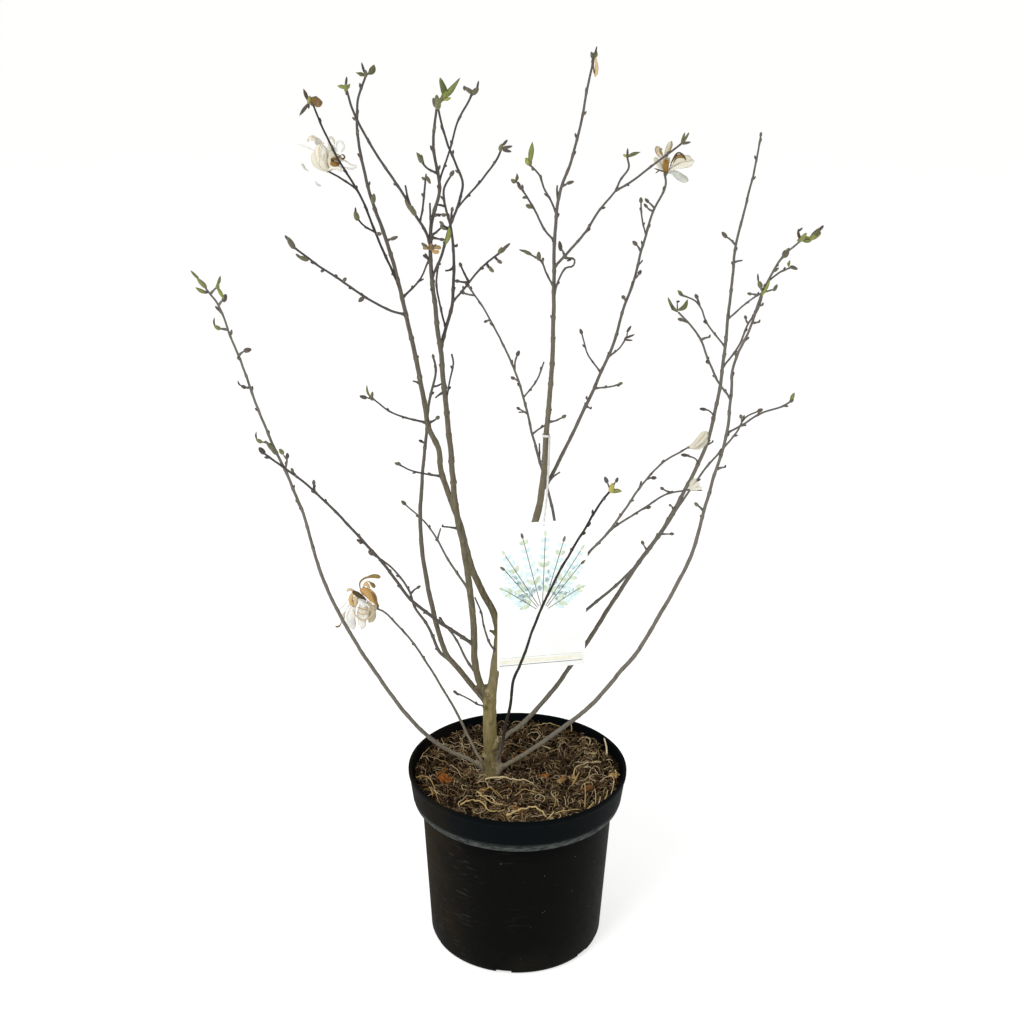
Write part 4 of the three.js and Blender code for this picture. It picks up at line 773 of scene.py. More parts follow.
class Paint:
    """A material built up from nodes."""

    def __init__(self, name):
        self.material = bpy.data.materials.new(name)
        self.material.use_nodes = True
        self.tree = self.material.node_tree
        self.tree.nodes.clear()
        self.place = self.node("TexCoord", out="Object")
        self.colour = None

    def node(self, kind, settings=None, *values, out=0, **named):
        made = self.tree.nodes.new("ShaderNode" + kind)
        for key, setting in (settings or {}).items():
            if key == "stops":
                self.set_stops(made.color_ramp.elements, setting)
            else:
                setattr(made, key, setting)
        sockets = dict(zip(range(len(values)), values))
        sockets.update({key.replace("_", " "): value for key, value in named.items()})
        for key, value in sockets.items():
            self.feed(made.inputs[key], value)
        return Value(self, made.outputs[out] if made.outputs else None)

    def feed(self, socket, value):
        if isinstance(value, Value):
            self.tree.links.new(value.socket, socket)
        else:
            socket.default_value = value

    @staticmethod
    def set_stops(elements, stops):
        while len(elements) < len(stops):
            elements.new(1.0)
        for element, (place, colour) in zip(elements, stops):
            element.position = place
            element.color = tint(colour)

    def mixed(self, low, high, factor):
        """The colour low where factor is 0 and high where it is 1."""
        made = self.tree.nodes.new("ShaderNodeMix")
        made.data_type = "RGBA"
        for index, value in ((0, factor), (6, low), (7, high)):
            self.feed(made.inputs[index], tint(value) if isinstance(value, str) else value)
        return Value(self, made.outputs[2])

    def over(self, code, factor):
        """Lays a colour over what is there, as far as factor says."""
        self.colour = self.mixed(self.colour, code, factor)

    def noise(self, scale, detail=3.0, rough=0.55, stretch=None):
        """Noise with about `scale` features a metre. stretch changes it along X, Y and Z."""
        place = self.node("Mapping", None, self.place, Scale=stretch) if stretch else self.place
        return self.node("TexNoise", None, Vector=place, Scale=scale, Detail=detail,
                         Roughness=rough)

    def cells(self, scale):
        """The distance from the nearest of about `scale` points a metre."""
        return self.node("TexVoronoi", None, Vector=self.place, Scale=scale)

    def attribute(self, name):
        return self.node("Attribute", {"attribute_name": name}, out="Fac")

    def tone(self, scale, amount):
        """The tone that was dealt to each small piece, a little uneven."""
        return self.attribute("tone") + (self.noise(scale) - 0.5) * amount

    def axis(self, name):
        return self.node("SeparateXYZ", None, self.place, out=name)

    def near(self, middle, reach):
        """1 at a place on the object, falling to 0 at the distance reach from it."""
        apart = self.node("VectorMath", {"operation": "DISTANCE"}, self.place, tuple(middle),
                          out="Value")
        return apart.step(reach, reach * 0.35)

    def finish(self, rough, relief, depth, **shader):
        """Closes the material. relief is a height that the Bump node raises by depth metres."""
        shader["Normal"] = self.node("Bump", None, Height=relief, Distance=depth, Strength=0.8)
        surface = self.node("BsdfPrincipled", None, Base_Color=self.colour, Roughness=rough,
                            **shader)
        self.node("OutputMaterial", None, Surface=surface)
        return self.material


def paint_bark(name):
    """Smooth young bark: olive-tan where a limb is thick, grey-brown where it is thin."""
    p = Paint(name)
    girth = p.attribute("girth")
    blotch = p.noise(60, detail=4)
    uneven = girth + (blotch - 0.5) * 0.22
    p.colour = uneven.ramp((0.0, "#2b2828"), (0.2, "#403d3d"), (0.3, "#504c4a"), (0.42, "#5d584e"),
                           (0.6, "#675f48"), (0.8, "#786e4a"), (1.0, "#83774b"))
    shade = p.attribute("shade")
    p.over("#8d897e", shade * 0.5)
    p.over("#1a1410", shade * -1.0)
    low = p.axis("Z").step(SOIL_LEVEL + 0.075, SOIL_LEVEL + 0.005)
    foot = p.mixed("#91856e", "#584b2e", girth.step(0.35, 0.7))
    p.over(foot, low * 0.7)
    streaks = p.noise(420, detail=3, stretch=(1, 1, 0.12))
    p.over("#9c9174", streaks.step(0.52, 0.72) * girth.step(0.3, 0.8) * 0.5)
    p.over("#3d331f", streaks.step(0.46, 0.3) * 0.55)
    dots = p.cells(420).step(0.16, 0.05) * p.noise(90).step(0.5, 0.62)
    p.over("#b3a684", dots * 0.55)
    # The spots are scars, stubs and knots. A few of them are painted highlights and painted light.
    for place, reach, spot, strength in BARK_SPOTS:
        mask = p.near(Vector(place) * MM, reach * MM) * p.noise(500).step(0.3, 0.55)
        p.over(spot, mask * strength)
    relief = streaks * 0.7 + p.noise(900, detail=2) * 0.3 + dots * 0.6
    return p.finish(blotch * 0.25 + 0.62, relief, 0.0006, Specular_IOR_Level=0.3)


def paint_buds(name):
    """Downy bud scales: reddish brown, olive or a fresh yellow-green."""
    p = Paint(name)
    down = p.noise(1500, detail=2, stretch=(1, 1, 0.4))
    tone = p.tone(300, 0.25)
    p.colour = tone.ramp((0.0, "#2f2723"), (0.2, "#4c413b"), (0.45, "#58563c"), (0.7, "#76793a"),
                         (1.0, "#b0a34c"))
    p.over("#9c9680", down.step(0.52, 0.75) * 0.45)
    return p.finish(0.8, down, 0.0004, Sheen_Weight=0.3)


def paint_leaves(name):
    """Opening leaves, with a paler midrib and dark tips."""
    p = Paint(name)
    tone = p.tone(260, 0.2)
    p.colour = tone.ramp((0.0, "#372823"), (0.2, "#4a4128"), (0.45, "#555c26"), (0.75, "#778030"),
                         (1.0, "#a8a64e"))
    across = p.attribute("margin")
    p.over("#a9a768", across.step(0.2, 0.05) * tone.step(0.3, 0.8) * 0.4)
    p.over("#4a4426", across.step(0.75, 1.0) * 0.4)
    ribs = p.node("TexWave", {"wave_type": "BANDS"}, Vector=p.place, Scale=260.0, Distortion=3.0)
    return p.finish(0.55, ribs * 0.5 + across * 0.5, 0.0003)


def paint_petals(name):
    """Thin strap petals: white when fresh, grey-green in part, cream with brown margins, then orange and
    brown.
    """
    p = Paint(name)
    tone = p.tone(120, 0.05)
    margin = p.attribute("margin")
    # The lowest tone, a grey-green, is partly the petal's own tint and partly painted shade on a white
    # petal.
    p.colour = tone.ramp((0.0, "#b9bcb2"), (0.03, "#e6e4de"), (0.12, "#e0dccf"), (0.24, "#cbc5b0"),
                         (0.4, "#d0bd99"), (0.6, "#cdae78"), (0.72, "#c79c5c"), (0.86, "#927a48"),
                         (0.94, "#765a36"), (1.0, "#4f3c20"))
    edge = margin.step(0.7, 1.0) * tone.step(0.2, 0.4)
    p.over("#8a705a", edge * 0.35)
    veins = p.noise(300, detail=1, stretch=(1, 1, 0.2))
    p.over("#aaa48e", veins.step(0.5, 0.8) * 0.2)
    return p.finish(0.7, veins, 0.00015, Specular_IOR_Level=0.2)


def paint_hearts():
    """The flower's heart: a cone of stamens, orange-brown or withered dark."""
    p = Paint("flower_hearts")
    grains = p.cells(700)
    p.colour = p.attribute("tone").ramp((0.0, "#4a3a1c"), (0.3, "#7a4f26"), (0.6, "#8f6a17"),
                                        (1.0, "#a8763a"))
    p.over("#4a3415", grains.step(0.5, 0.9) * 0.6)
    return p.finish(0.7, 1 - grains, 0.0008)


def paint_pot():
    """Near-black moulded plastic with dust, pale specks, scratches, a scuffed collar and paler patches
    towards the foot, with painted light: a faint blue reflection on the collar, a shadow under it and light
    on the left flank.
    """
    p = Paint("nursery_pot")
    up = p.axis("Z")
    side = p.axis("X")
    cloud = p.noise(14, detail=5, rough=0.65)
    fine = p.noise(120, detail=4)
    collar = up.step(COLLAR_FOOT - 0.001, COLLAR_FOOT + 0.002)
    # The collar's faint blue tint is a painted reflection on the same black plastic.
    p.colour = p.mixed("#090908", "#070b0d", collar)
    # Painted shadow: the body darkens just under the collar's overhang.
    collar_shadow = up.step(COLLAR_FOOT - 0.03, COLLAR_FOOT) * (1 - collar)
    p.over("#030303", collar_shadow * 0.9)
    # Brownish dust, strong on the left flank and faint on the right. On the left it is partly dust and
    # partly painted light, where the key lamp falls.
    flank = side.step(-0.05, -0.108) + side.step(0.07, 0.115) * 0.12
    dust_and_side_light = flank * cloud.step(0.3, 0.62) * (1 - collar * 0.5)
    p.over("#251e14", dust_and_side_light * 0.9)
    p.over("#191813", up.step(0.05, 0.0) * cloud.step(0.35, 0.6) * 0.7)
    drawn = p.noise(90, detail=4, stretch=(1, 1, 3.5))
    scuff = up.step(COLLAR_FOOT - 0.002, COLLAR_FOOT) * up.step(COLLAR_FOOT + 0.013,
                                                                COLLAR_FOOT + 0.006)
    worn = drawn.step(0.33, 0.62) * 0.55 + p.noise(420, detail=2).step(0.5, 0.62) * 0.25 + 0.15
    p.over("#555a57", scuff * worn)
    scratch = p.noise(60, detail=3, stretch=(0.6, 0.6, 5)).step(0.58, 0.68)
    scratch = scratch * p.noise(18).step(0.46, 0.6) * (1 - collar) * side.step(0.06, -0.08)
    p.over("#33322e", scratch * 0.6)
    specks = p.cells(150).step(0.07, 0.03) * p.noise(40, detail=1).step(0.58, 0.64)
    p.over("#b9bbb4", specks * (1 - collar))
    grit = p.cells(520).step(0.12, 0.05) * cloud.step(0.45, 0.6)
    p.over("#2f2b22", grit * 0.6)
    rough = fine * 0.2 + dust_and_side_light * 0.25 + 0.46
    return p.finish(rough, fine * 0.5 + scratch * 0.3 + specks, 0.0004, Specular_IOR_Level=0.02)


def paint_soil():
    """Dark fibrous peat with paler grains, painted darker still in its hollows and gaps as painted shade."""
    p = Paint("peat_compost")
    clods = p.noise(90, detail=6, rough=0.7)
    grains = p.cells(620)
    # The darkest end of the ramp lies in the low places of the bump. It is partly the peat's own dark colour
    # and partly painted shade in the hollows.
    p.colour = clods.ramp((0.3, "#070402"), (0.48, "#150e08"), (0.64, "#2c2016"), (0.8, "#5b4a34"))
    p.over("#8a7350", grains.step(0.2, 0.08) * p.noise(200).step(0.5, 0.66) * 0.7)
    # Dark patches: painted shade in the deep gaps of the soil.
    p.over("#120b05", p.noise(34, detail=4).step(0.48, 0.34) * 0.6)
    return p.finish(0.95, clods * 0.7 + grains * 0.4, 0.003, Specular_IOR_Level=0.02)


def paint_litter(name, stops):
    """Loose bits on the soil, whose tone chooses their colour."""
    p = Paint(name)
    tone = p.tone(350, 0.2)
    grain = p.noise(1400, detail=2, stretch=(1, 1, 0.5))
    p.colour = tone.ramp(*stops)
    p.over("#1b120a", grain.step(0.45, 0.25) * 0.5)
    return p.finish(0.85, grain, 0.0005, Specular_IOR_Level=0.1)


def paint_card():
    """White coated card, very slightly mottled."""
    p = Paint("white_card")
    mottle = p.noise(30, detail=3)
    p.colour = p.mixed("#fbfcfa", "#f3f5f2", mottle.step(0.4, 0.7))
    return p.finish(0.36, p.noise(700, detail=1), 0.0001)


def paint_print(name, dark, pale):
    """Ink on the card, a little uneven as printed foliage is."""
    p = Paint(name)
    wash = p.noise(160, detail=3)
    p.colour = p.mixed(dark, pale, wash.step(0.35, 0.68))
    return p.finish(0.4, wash, 0.00005)


def paint_strap():
    p = Paint("white_strap")
    weave = p.noise(600, detail=2, stretch=(1, 1, 0.2))
    p.colour = p.mixed("#dcdbd6", "#b9b8b2", weave.step(0.45, 0.7))
    return p.finish(0.45, weave, 0.0002)


def paint_floor():
    p = Paint("studio_floor")
    p.colour = tint("#d8d8d6")
    return p.finish(0.9, p.noise(4, detail=1), 0.0001, Specular_IOR_Level=0.0,
                    Emission_Color=tint("#ffffff"), Emission_Strength=0.62)


# ------------------------------------------------------------------ lines


def mix(low, high, share):
    return low + (high - low) * share


def smooth(low, high, value):
    share = min(1.0, max(0.0, (value - low) / (high - low)))
    return share * share * (3 - 2 * share)


def arc_point(before, start, end, after, share):
    """A point between start and end on a centripetal Catmull-Rom line."""
    first, gap, last = [max(1e-4, (b - a).length ** 0.5)
                        for a, b in ((before, start), (start, end), (end, after))]
    leave = ((start - before) / first - (end - before) / (first + gap)) * gap + end - start
    arrive = ((after - end) / last - (after - start) / (gap + last)) * gap + end - start
    square, cube = share ** 2, share ** 3
    return (start * (2 * cube - 3 * square + 1) + leave * (cube - 2 * square + share)
            + end * (3 * square - 2 * cube) + arrive * (cube - square))


class Course:
    """A smooth line through points, read by the share of its length."""

    ARC_STEPS = 12

    def __init__(self, points):
        points = [Vector(p) for p in points]
        knots = [2 * points[0] - points[1], *points, 2 * points[-1] - points[-2]]
        self.points = [arc_point(*knots[i:i + 4], k / self.ARC_STEPS)
                       for i in range(len(points) - 1) for k in range(self.ARC_STEPS)]
        self.points.append(points[-1])
        self.reached = [0.0]
        for start, end in zip(self.points, self.points[1:]):
            self.reached.append(self.reached[-1] + (end - start).length)
        self.length = self.reached[-1]

    def at(self, share):
        reach = min(1.0, max(0.0, share)) * self.length
        i = min(bisect.bisect_right(self.reached, reach), len(self.points) - 1)
        low, high = self.reached[i - 1], self.reached[i]
        return self.points[i - 1].lerp(self.points[i], (reach - low) / (high - low))

    def way(self, share):
        return (self.at(share + 0.01) - self.at(share - 0.01)).normalized()


def across_pair(along):
    """Two directions square to a line."""
    guide = Vector((0, 0, 1)) if abs(along.z) < 0.8 else Vector((0, 1, 0))
    first = along.cross(guide).normalized()
    return first, along.cross(first).normalized()


def outward(along, turn):
    """The direction away from a line, at an angle round it."""
    side, over = across_pair(along)
    return side * math.cos(turn) + over * math.sin(turn)


def thickness_law(foot, half, tip):
    """Thickness by the share of a stem's length, through its foot, halfway and tip."""
    swell = 4 * (half - (foot + tip) / 2)
    return lambda share: mix(foot, tip, share) + swell * share * (1 - share)


def trunk_law(share):
    height = TRUNK_COURSE.at(share).z - SOIL_LEVEL / MM
    flare = 2 * TRUNK_FLARE * (1 - smooth(0, 16, height))
    return mix(TRUNK_THICK + flare, STEMS[0]["thick"][0], smooth(100, 131, height))


TRUNK_COURSE = Course(TRUNK_PATH)


def wander(point):
    """Moves a point of the wood a little, the same way for all that passes there."""
    return point + noise.noise_vector(point / 28) * 0.9 + noise.noise_vector(point / 8) * 0.25


# ------------------------------------------------------------------ growth, in millimetres


class Plant:
    """What the plan grows into: lines of wood, and the small things that sit on them."""

    def __init__(self):
        self.limbs = []  # each line of wood is a list of (point, radius, shade)
        self.shoots = []
        self.knots = []
        self.small = {"bud": [], "leaf": [], "petal": [], "heart": []}
        self.stems = {"trunk": (TRUNK_COURSE, trunk_law)}

    def grow(self):
        self.limbs.append(self.rings(TRUNK_COURSE, trunk_law, 0, 1, TRUNK_STEP, 0.0))
        for points, radii in TRUNK_KNOTS:
            self.knots.append([(Vector(p), r, 0.0) for p, r in zip(points, radii)])
        for entry in STEMS:
            course, law = self.stems[entry["on"]]
            own = Course([course.at(entry["at"]), *entry["path"]])
            self.stems[entry["name"]] = (own, thickness_law(*entry["thick"]))
            self.add_stem(entry, law(entry["at"]) / 2)
        return self

    @staticmethod
    def rings(course, law, start, end, step, shade):
        count = max(2, math.ceil((end - start) * course.length / step))
        shares = [mix(start, end, i / count) for i in range(count + 1)]
        return [(wander(course.at(s)), law(s) / 2, shade) for s in shares]

    def add_stem(self, entry, buried):
        course, law = self.stems[entry["name"]]
        rand = random.Random(entry["name"])
        bare, shade = entry["bare"], entry["shade"]
        if bare > 0:
            bough = self.rings(course, law, 0, bare, BOUGH_STEP, shade)
            tail = bough[-1][1]
            for i in (1, 2):  # its end tapers inside the shoot that goes on from it
                share = bare + i * 3 / course.length
                bough.append((wander(course.at(share)), tail * (1 - 0.22 * i), shade))
            self.limbs.append(bough)
        self.add_shoot(course, law, bare, rand, buried, shade)
        for part in entry["shoots"]:
            self.add_side(course, law, part, rand, shade)
        self.add_end(course, entry["end"], rand)

    def add_side(self, course, law, part, rand, shade):
        foot = course.at(part["share"])
        buried = law(part["share"]) / 2
        if "reach" in part:
            self.add_twig(foot, part["reach"], part["end"], rand, buried, shade)
            return
        own = Course([foot, *part["path"]])
        thick = part["thick"]
        own_law = thickness_law(thick, mix(thick, BRANCH_TIP, 0.45), BRANCH_TIP)
        if part["shade"] is not None:
            shade = part["shade"]
        self.add_shoot(own, own_law, 0, rand, buried, shade)
        for more in part["shoots"]:
            self.add_side(own, own_law, more, rand, shade)
        self.add_end(own, part["end"], rand)

    def add_twig(self, foot, reach, end, rand, buried, shade):
        """A side twig: short ones are knobbly spurs, long ones sag a little."""
        reach = Vector(reach)
        course = Course([foot, foot + reach * 0.55 + self.bow(reach, rand), foot + reach])
        law = thickness_law(min(3, max(1.8, buried * 1.24)), 2.15, 1.95)
        gap = SPUR_GAP if reach.length < SPUR_LENGTH else TWIG_GAP
        self.add_shoot(course, law, 0, rand, buried, shade, gap)
        self.add_end(course, end, rand)

    @staticmethod
    def bow(reach, rand):
        """How far the middle of a twig lies beside its straight line."""
        if reach.length >= SPUR_LENGTH:
            return Vector((reach.x, reach.y, -abs(reach.z))) * 0.1
        side, over = across_pair(reach.normalized())
        return (side * rand.uniform(-1, 1) + over * rand.uniform(-1, 1)) * 0.08 * reach.length

    def add_shoot(self, course, law, start, rand, buried, shade, gap=STEM_GAP):
        """A line of thin wood from the share start, swollen at its nodes, with its buds."""
        length = course.length
        spur = gap == SPUR_GAP
        nodes = []
        at = max(start * length, buried) + gap * rand.uniform(0.4, 0.9)
        while at < length - 4:
            nodes.append(at)
            at += gap * rand.uniform(0.7, 1.3)
        head = start - 4 / length if start else 0
        step = SPUR_STEP if spur else SHOOT_STEP
        rings = [list(ring) for ring in self.rings(course, law, head, 1, step, shade)]
        for i, ring in enumerate(rings):
            reached = mix(head, 1, i / (len(rings) - 1)) * length
            if not start:  # a side shoot is thicker where it leaves its stem
                ring[1] *= 1 + 0.5 * (1 - smooth(buried, buried + 5, reached))
            swell = sum(math.exp(-((reached - node) / NODE_REACH) ** 2) for node in nodes)
            ring[1] *= 1 + (0.2 if spur else 0.3) * swell
            ring[1] *= 1 + 0.05 * noise.noise(ring[0] / 3)
        self.shoots.append([tuple(ring) for ring in rings])
        turn = rand.uniform(0, ROUND)
        for node in nodes:
            turn += 2.4
            if not spur or rand.random() < 0.3:
                self.add_side_bud(course, law, node / length, turn, rand, shade)

    def add_side_bud(self, course, law, share, turn, rand, shade):
        """A small bud pressed to its stem, sometimes on a short peg of its own."""
        along = course.way(share)
        out = outward(along, turn)
        radius = law(share) / 2
        foot = wander(course.at(share)) + out * radius * 0.7
        way = (out * rand.uniform(0.3, 0.6) + along).normalized()
        fresh = smooth(0.55, 1.0, share)
        length = rand.uniform(3, 4.6) + 2.6 * fresh
        if rand.random() < PEG_CHANCE:
            tip = foot + way * rand.uniform(2.5, 6)
            self.shoots.append([(foot - out * radius * 0.5, 1.2, shade),
                                (foot.lerp(tip, 0.5), 0.95, shade), (tip, 1.0, shade)])
            foot = tip - way
        tone = rand.choice((0.05, 0.15, 0.2, 0.3)) + 0.2 * fresh * rand.random()
        tone *= 1 + min(shade, 0)
        self.small["bud"].append(([foot, foot + way * length], 1.1 + length * 0.32, tone))

    def add_end(self, course, kind, rand):
        """What sits on a shoot's tip."""
        tip = wander(course.at(1))
        along = course.way(1)
        if kind in TIPS:
            for form, parts in TIPS[kind].items():
                for *path, width, tone in parts:
                    self.small[form].append(([tip + Vector(p) for p in path], width, tone))
            return
        if kind in ("none", "bare"):
            return
        size = END_BUDS[kind] * rand.uniform(0.8, 1.2)
        tone = rand.uniform(0.1, 0.5)
        self.small["bud"].append(([tip - along * 0.4 * size, tip + along * 0.6 * size],
                                  size * rand.uniform(0.6, 0.72), tone))
        if kind == "leaf":
            self.add_leaf(tip, along, rand)

    def add_leaf(self, tip, along, rand):
        out = outward(along, rand.uniform(0, ROUND))
        way = (along + out * rand.uniform(0.35, 0.9)).normalized()
        end = tip + way * LEAF_LENGTH * rand.uniform(0.85, 1.2)
        self.small["leaf"].append(([tip - along, end], LEAF_WIDTH, rand.uniform(0.25, 0.8)))


# ------------------------------------------------------------------ meshes


def add_object(name, data):
    obj = bpy.data.objects.new(name, data)
    bpy.context.scene.collection.objects.link(obj)
    return obj


def keep_mesh(name, mesh, *materials):
    for material in materials:
        mesh.materials.append(material)
    return add_object(name, mesh)


def keep_bmesh(name, bm, *materials, shade=True):
    mesh = bpy.data.meshes.new(name)
    bm.to_mesh(mesh)
    bm.free()
    mesh.polygons.foreach_set("use_smooth", [shade] * len(mesh.polygons))
    return keep_mesh(name, mesh, *materials)


def settled_mesh(obj):
    """The object's mesh with its modifiers applied. The object itself is removed."""
    graph = bpy.context.evaluated_depsgraph_get()
    mesh = bpy.data.meshes.new_from_object(obj.evaluated_get(graph))
    bpy.data.objects.remove(obj)
    return mesh


def thicken(obj, thickness, offset=0):
    """Gives a flat piece its thickness: half on each side of it, or all on one side."""
    body = obj.modifiers.new("body", "SOLIDIFY")
    body.thickness = thickness
    body.offset = offset
    return obj


def grid_cells(bm, across, along):
    """A new grid's vertices, each with its place across, from -1 to 1, and its share along."""
    made = bmesh.ops.create_grid(bm, x_segments=across, y_segments=along, size=1)["verts"]
    return [(vertex, vertex.co.x, (vertex.co.y + 1) / 2) for vertex in made]


def strand_mesh(name, strands, sides):
    """Closed tubes of wood or root along lists of (point, radius, ...) in millimetres."""
    curve = bpy.data.curves.new(name, "CURVE")
    curve.dimensions = "3D"
    curve.bevel_depth = 1.0
    curve.bevel_resolution = (sides - 4) // 2
    for rings in strands:
        spline = curve.splines.new("POLY")
        spline.points.add(len(rings) - 1)
        for knot, (point, radius, *_) in zip(spline.points, rings):
            knot.co = (*(point * MM), 1.0)
            knot.radius = radius * MM
    mesh = settled_mesh(add_object(name, curve))
    bm = bmesh.new()
    bm.from_mesh(mesh)
    bmesh.ops.holes_fill(bm, edges=[e for e in bm.edges if e.is_boundary], sides=0)
    bm.to_mesh(mesh)
    bm.free()
    return mesh


def set_float(mesh, name, values):
    attribute = mesh.attributes.new(name, "FLOAT", "POINT")
    attribute.data.foreach_set("value", values)


def dealt_to_rings(strands, sides, values):
    """One value for each vertex of strand_mesh, from one value for each ring or strand."""
    dealt = []
    for rings, value in zip(strands, values):
        own = value if isinstance(value, list) else [value] * len(rings)
        dealt += [v for v in own for _ in range(sides)]
    return dealt


def girth_share(radius):
    """0 for a hair, 1 for the trunk."""
    return min(1.0, 2 * radius / TRUNK_THICK) ** 0.7


def wood_at(vertices, limbs):
    """For each vertex the girth and the shade of its limb, blended where limbs meet."""
    rings = [ring for limb in limbs for ring in limb]
    tree = kdtree.KDTree(len(rings))
    for i, ring in enumerate(rings):
        tree.insert(ring[0] * MM, i)
    tree.balance()
    found = []
    for vertex in vertices:
        total = girth = shade = 0.0
        for _, i, away in tree.find_n(vertex.co, 7):
            weight = math.exp(min(20, rings[i][1] - away / MM))
            total += weight
            girth += weight * girth_share(rings[i][1])
            shade += weight * rings[i][2]
        found.append((girth / total, shade / total))
    return found


def bark_up(mesh, girth, shade, barks):
    """Deals the bark out to the faces: the darkest first, then by how thick the wood is."""
    set_float(mesh, "girth", girth)
    set_float(mesh, "shade", shade)
    mesh.polygons.foreach_set("use_smooth", [True] * len(mesh.polygons))
    for face in mesh.polygons:
        i = face.vertices[0]
        band = 1 + bisect.bisect(GIRTH_LIMITS, girth[i])
        face.material_index = 0 if shade[i] < DARK_BARK else band
    return keep_mesh(mesh.name, mesh, *barks)


def build_limbs(plant, barks):
    """The trunk and the bare boughs in one skin, with the relief of their bark."""
    lines = plant.limbs + plant.knots
    source = keep_mesh("limbs_source", strand_mesh("limbs_source", lines, 10))
    remesh = source.modifiers.new("skin", "REMESH")
    remesh.mode = "VOXEL"
    remesh.voxel_size = LIMB_VOXEL
    even = source.modifiers.new("even", "SMOOTH")
    even.iterations = 3
    mesh = settled_mesh(source)
    mesh.name = "limbs"
    bm = bmesh.new()
    bm.from_mesh(mesh)
    bm.normal_update()
    thick = bm.verts.layers.float.new("thick")
    grey = bm.verts.layers.float.new("grey")
    shifts = []
    for vertex, (girth, shade) in zip(bm.verts, wood_at(bm.verts, plant.limbs)):
        vertex[thick], vertex[grey] = girth, shade
        shifts.append(vertex.normal * bark_relief(vertex.co / MM, girth) * MM)
    for vertex, shift in zip(bm.verts, shifts):
        vertex.co += shift
    bmesh.ops.bisect_plane(bm, geom=bm.verts[:] + bm.edges[:] + bm.faces[:], dist=1e-6,
                           plane_co=(0, 0, LIMB_CUT), plane_no=(0, 0, -1), clear_outer=True)
    bmesh.ops.holes_fill(bm, edges=[e for e in bm.edges if e.is_boundary], sides=0)
    girth = [v[thick] for v in bm.verts]
    shade = [v[grey] for v in bm.verts]
    bm.verts.layers.float.remove(thick)
    bm.verts.layers.float.remove(bm.verts.layers.float["grey"])
    bm.to_mesh(mesh)
    bm.free()
    return bark_up(mesh, girth, shade, barks)


def bark_relief(point, girth):
    """How far the bark stands out at a point, in millimetres: lumps, ridges and faint rings."""
    ridge = noise.noise(Vector((point.x / 2.6, point.y / 2.6, point.z / 14)))
    lump = noise.noise(point / 9)
    ring = noise.noise(Vector((point.x / 9, point.y / 9, point.z / 1.8)))
    return 0.22 + (0.34 * ridge + 0.45 * lump + 0.16 * ring) * (0.12 + girth)


def build_shoots(plant, barks):
    mesh = strand_mesh("shoots", plant.shoots, 8)
    along = [[girth_share(ring[1]) for ring in rings] for rings in plant.shoots]
    girth = dealt_to_rings(plant.shoots, 8, along)
    shade = dealt_to_rings(plant.shoots, 8, [rings[0][2] for rings in plant.shoots])
    return bark_up(mesh, girth, shade, barks)


def lie_along(start, end, turn):
    """The matrix that lays local Z from start to end, in metres, unscaled."""
    along = end - start
    quat = along.to_track_quat("Z", "Y")
    return Matrix.Translation(start) @ quat.to_matrix().to_4x4() @ Matrix.Rotation(turn, 4, "Z")


def new_sprays():
    bm = bmesh.new()
    return bm, bm.verts.layers.float.new("tone"), bm.verts.layers.float.new("margin")


def finish_sprays(name, bm, tone, limits, materials):
    """Deals the tones out to the material slots, and makes the object."""
    for face in bm.faces:
        face.material_index = bisect.bisect(limits, face.verts[0][tone])
    return keep_bmesh(name, bm, *materials)


def build_buds(name, places, segments, materials, limits):
    """Spindle-shaped buds, fuller near the foot and pointed at the tip."""
    bm, tone_layer, _ = new_sprays()
    rand = random.Random(name)
    for path, width, tone in places:
        start, end = path[0] * MM, path[-1] * MM
        made = bmesh.ops.create_uvsphere(bm, u_segments=segments, v_segments=segments - 1,
                                         radius=0.5)
        place = lie_along(start, end, rand.uniform(0, ROUND))
        length = (end - start).length
        bend = rand.uniform(-0.12, 0.12)
        for vertex in made["verts"]:
            share = vertex.co.z + 0.5
            taper = (1.1 - 0.32 * share) * width * MM
            x = vertex.co.x * taper + bend * width * MM * share * share
            vertex.co = place @ Vector((x, vertex.co.y * taper, share * length))
            vertex[tone_layer] = tone
    return finish_sprays(name, bm, tone_layer, limits, materials)


def leaf_outline(share):
    """Half the width of a young leaf: widest below its middle and pointed."""
    return math.sin(math.pi * min(1.0, share) ** 0.85) ** 0.8


def petal_outline(share):
    """Half the width of a strap petal: widest past its middle, with a blunt tip."""
    return (0.3 + 0.7 * smooth(0.0, 0.6, share)) * (1 - smooth(0.78, 1.02, share) ** 2) ** 0.6


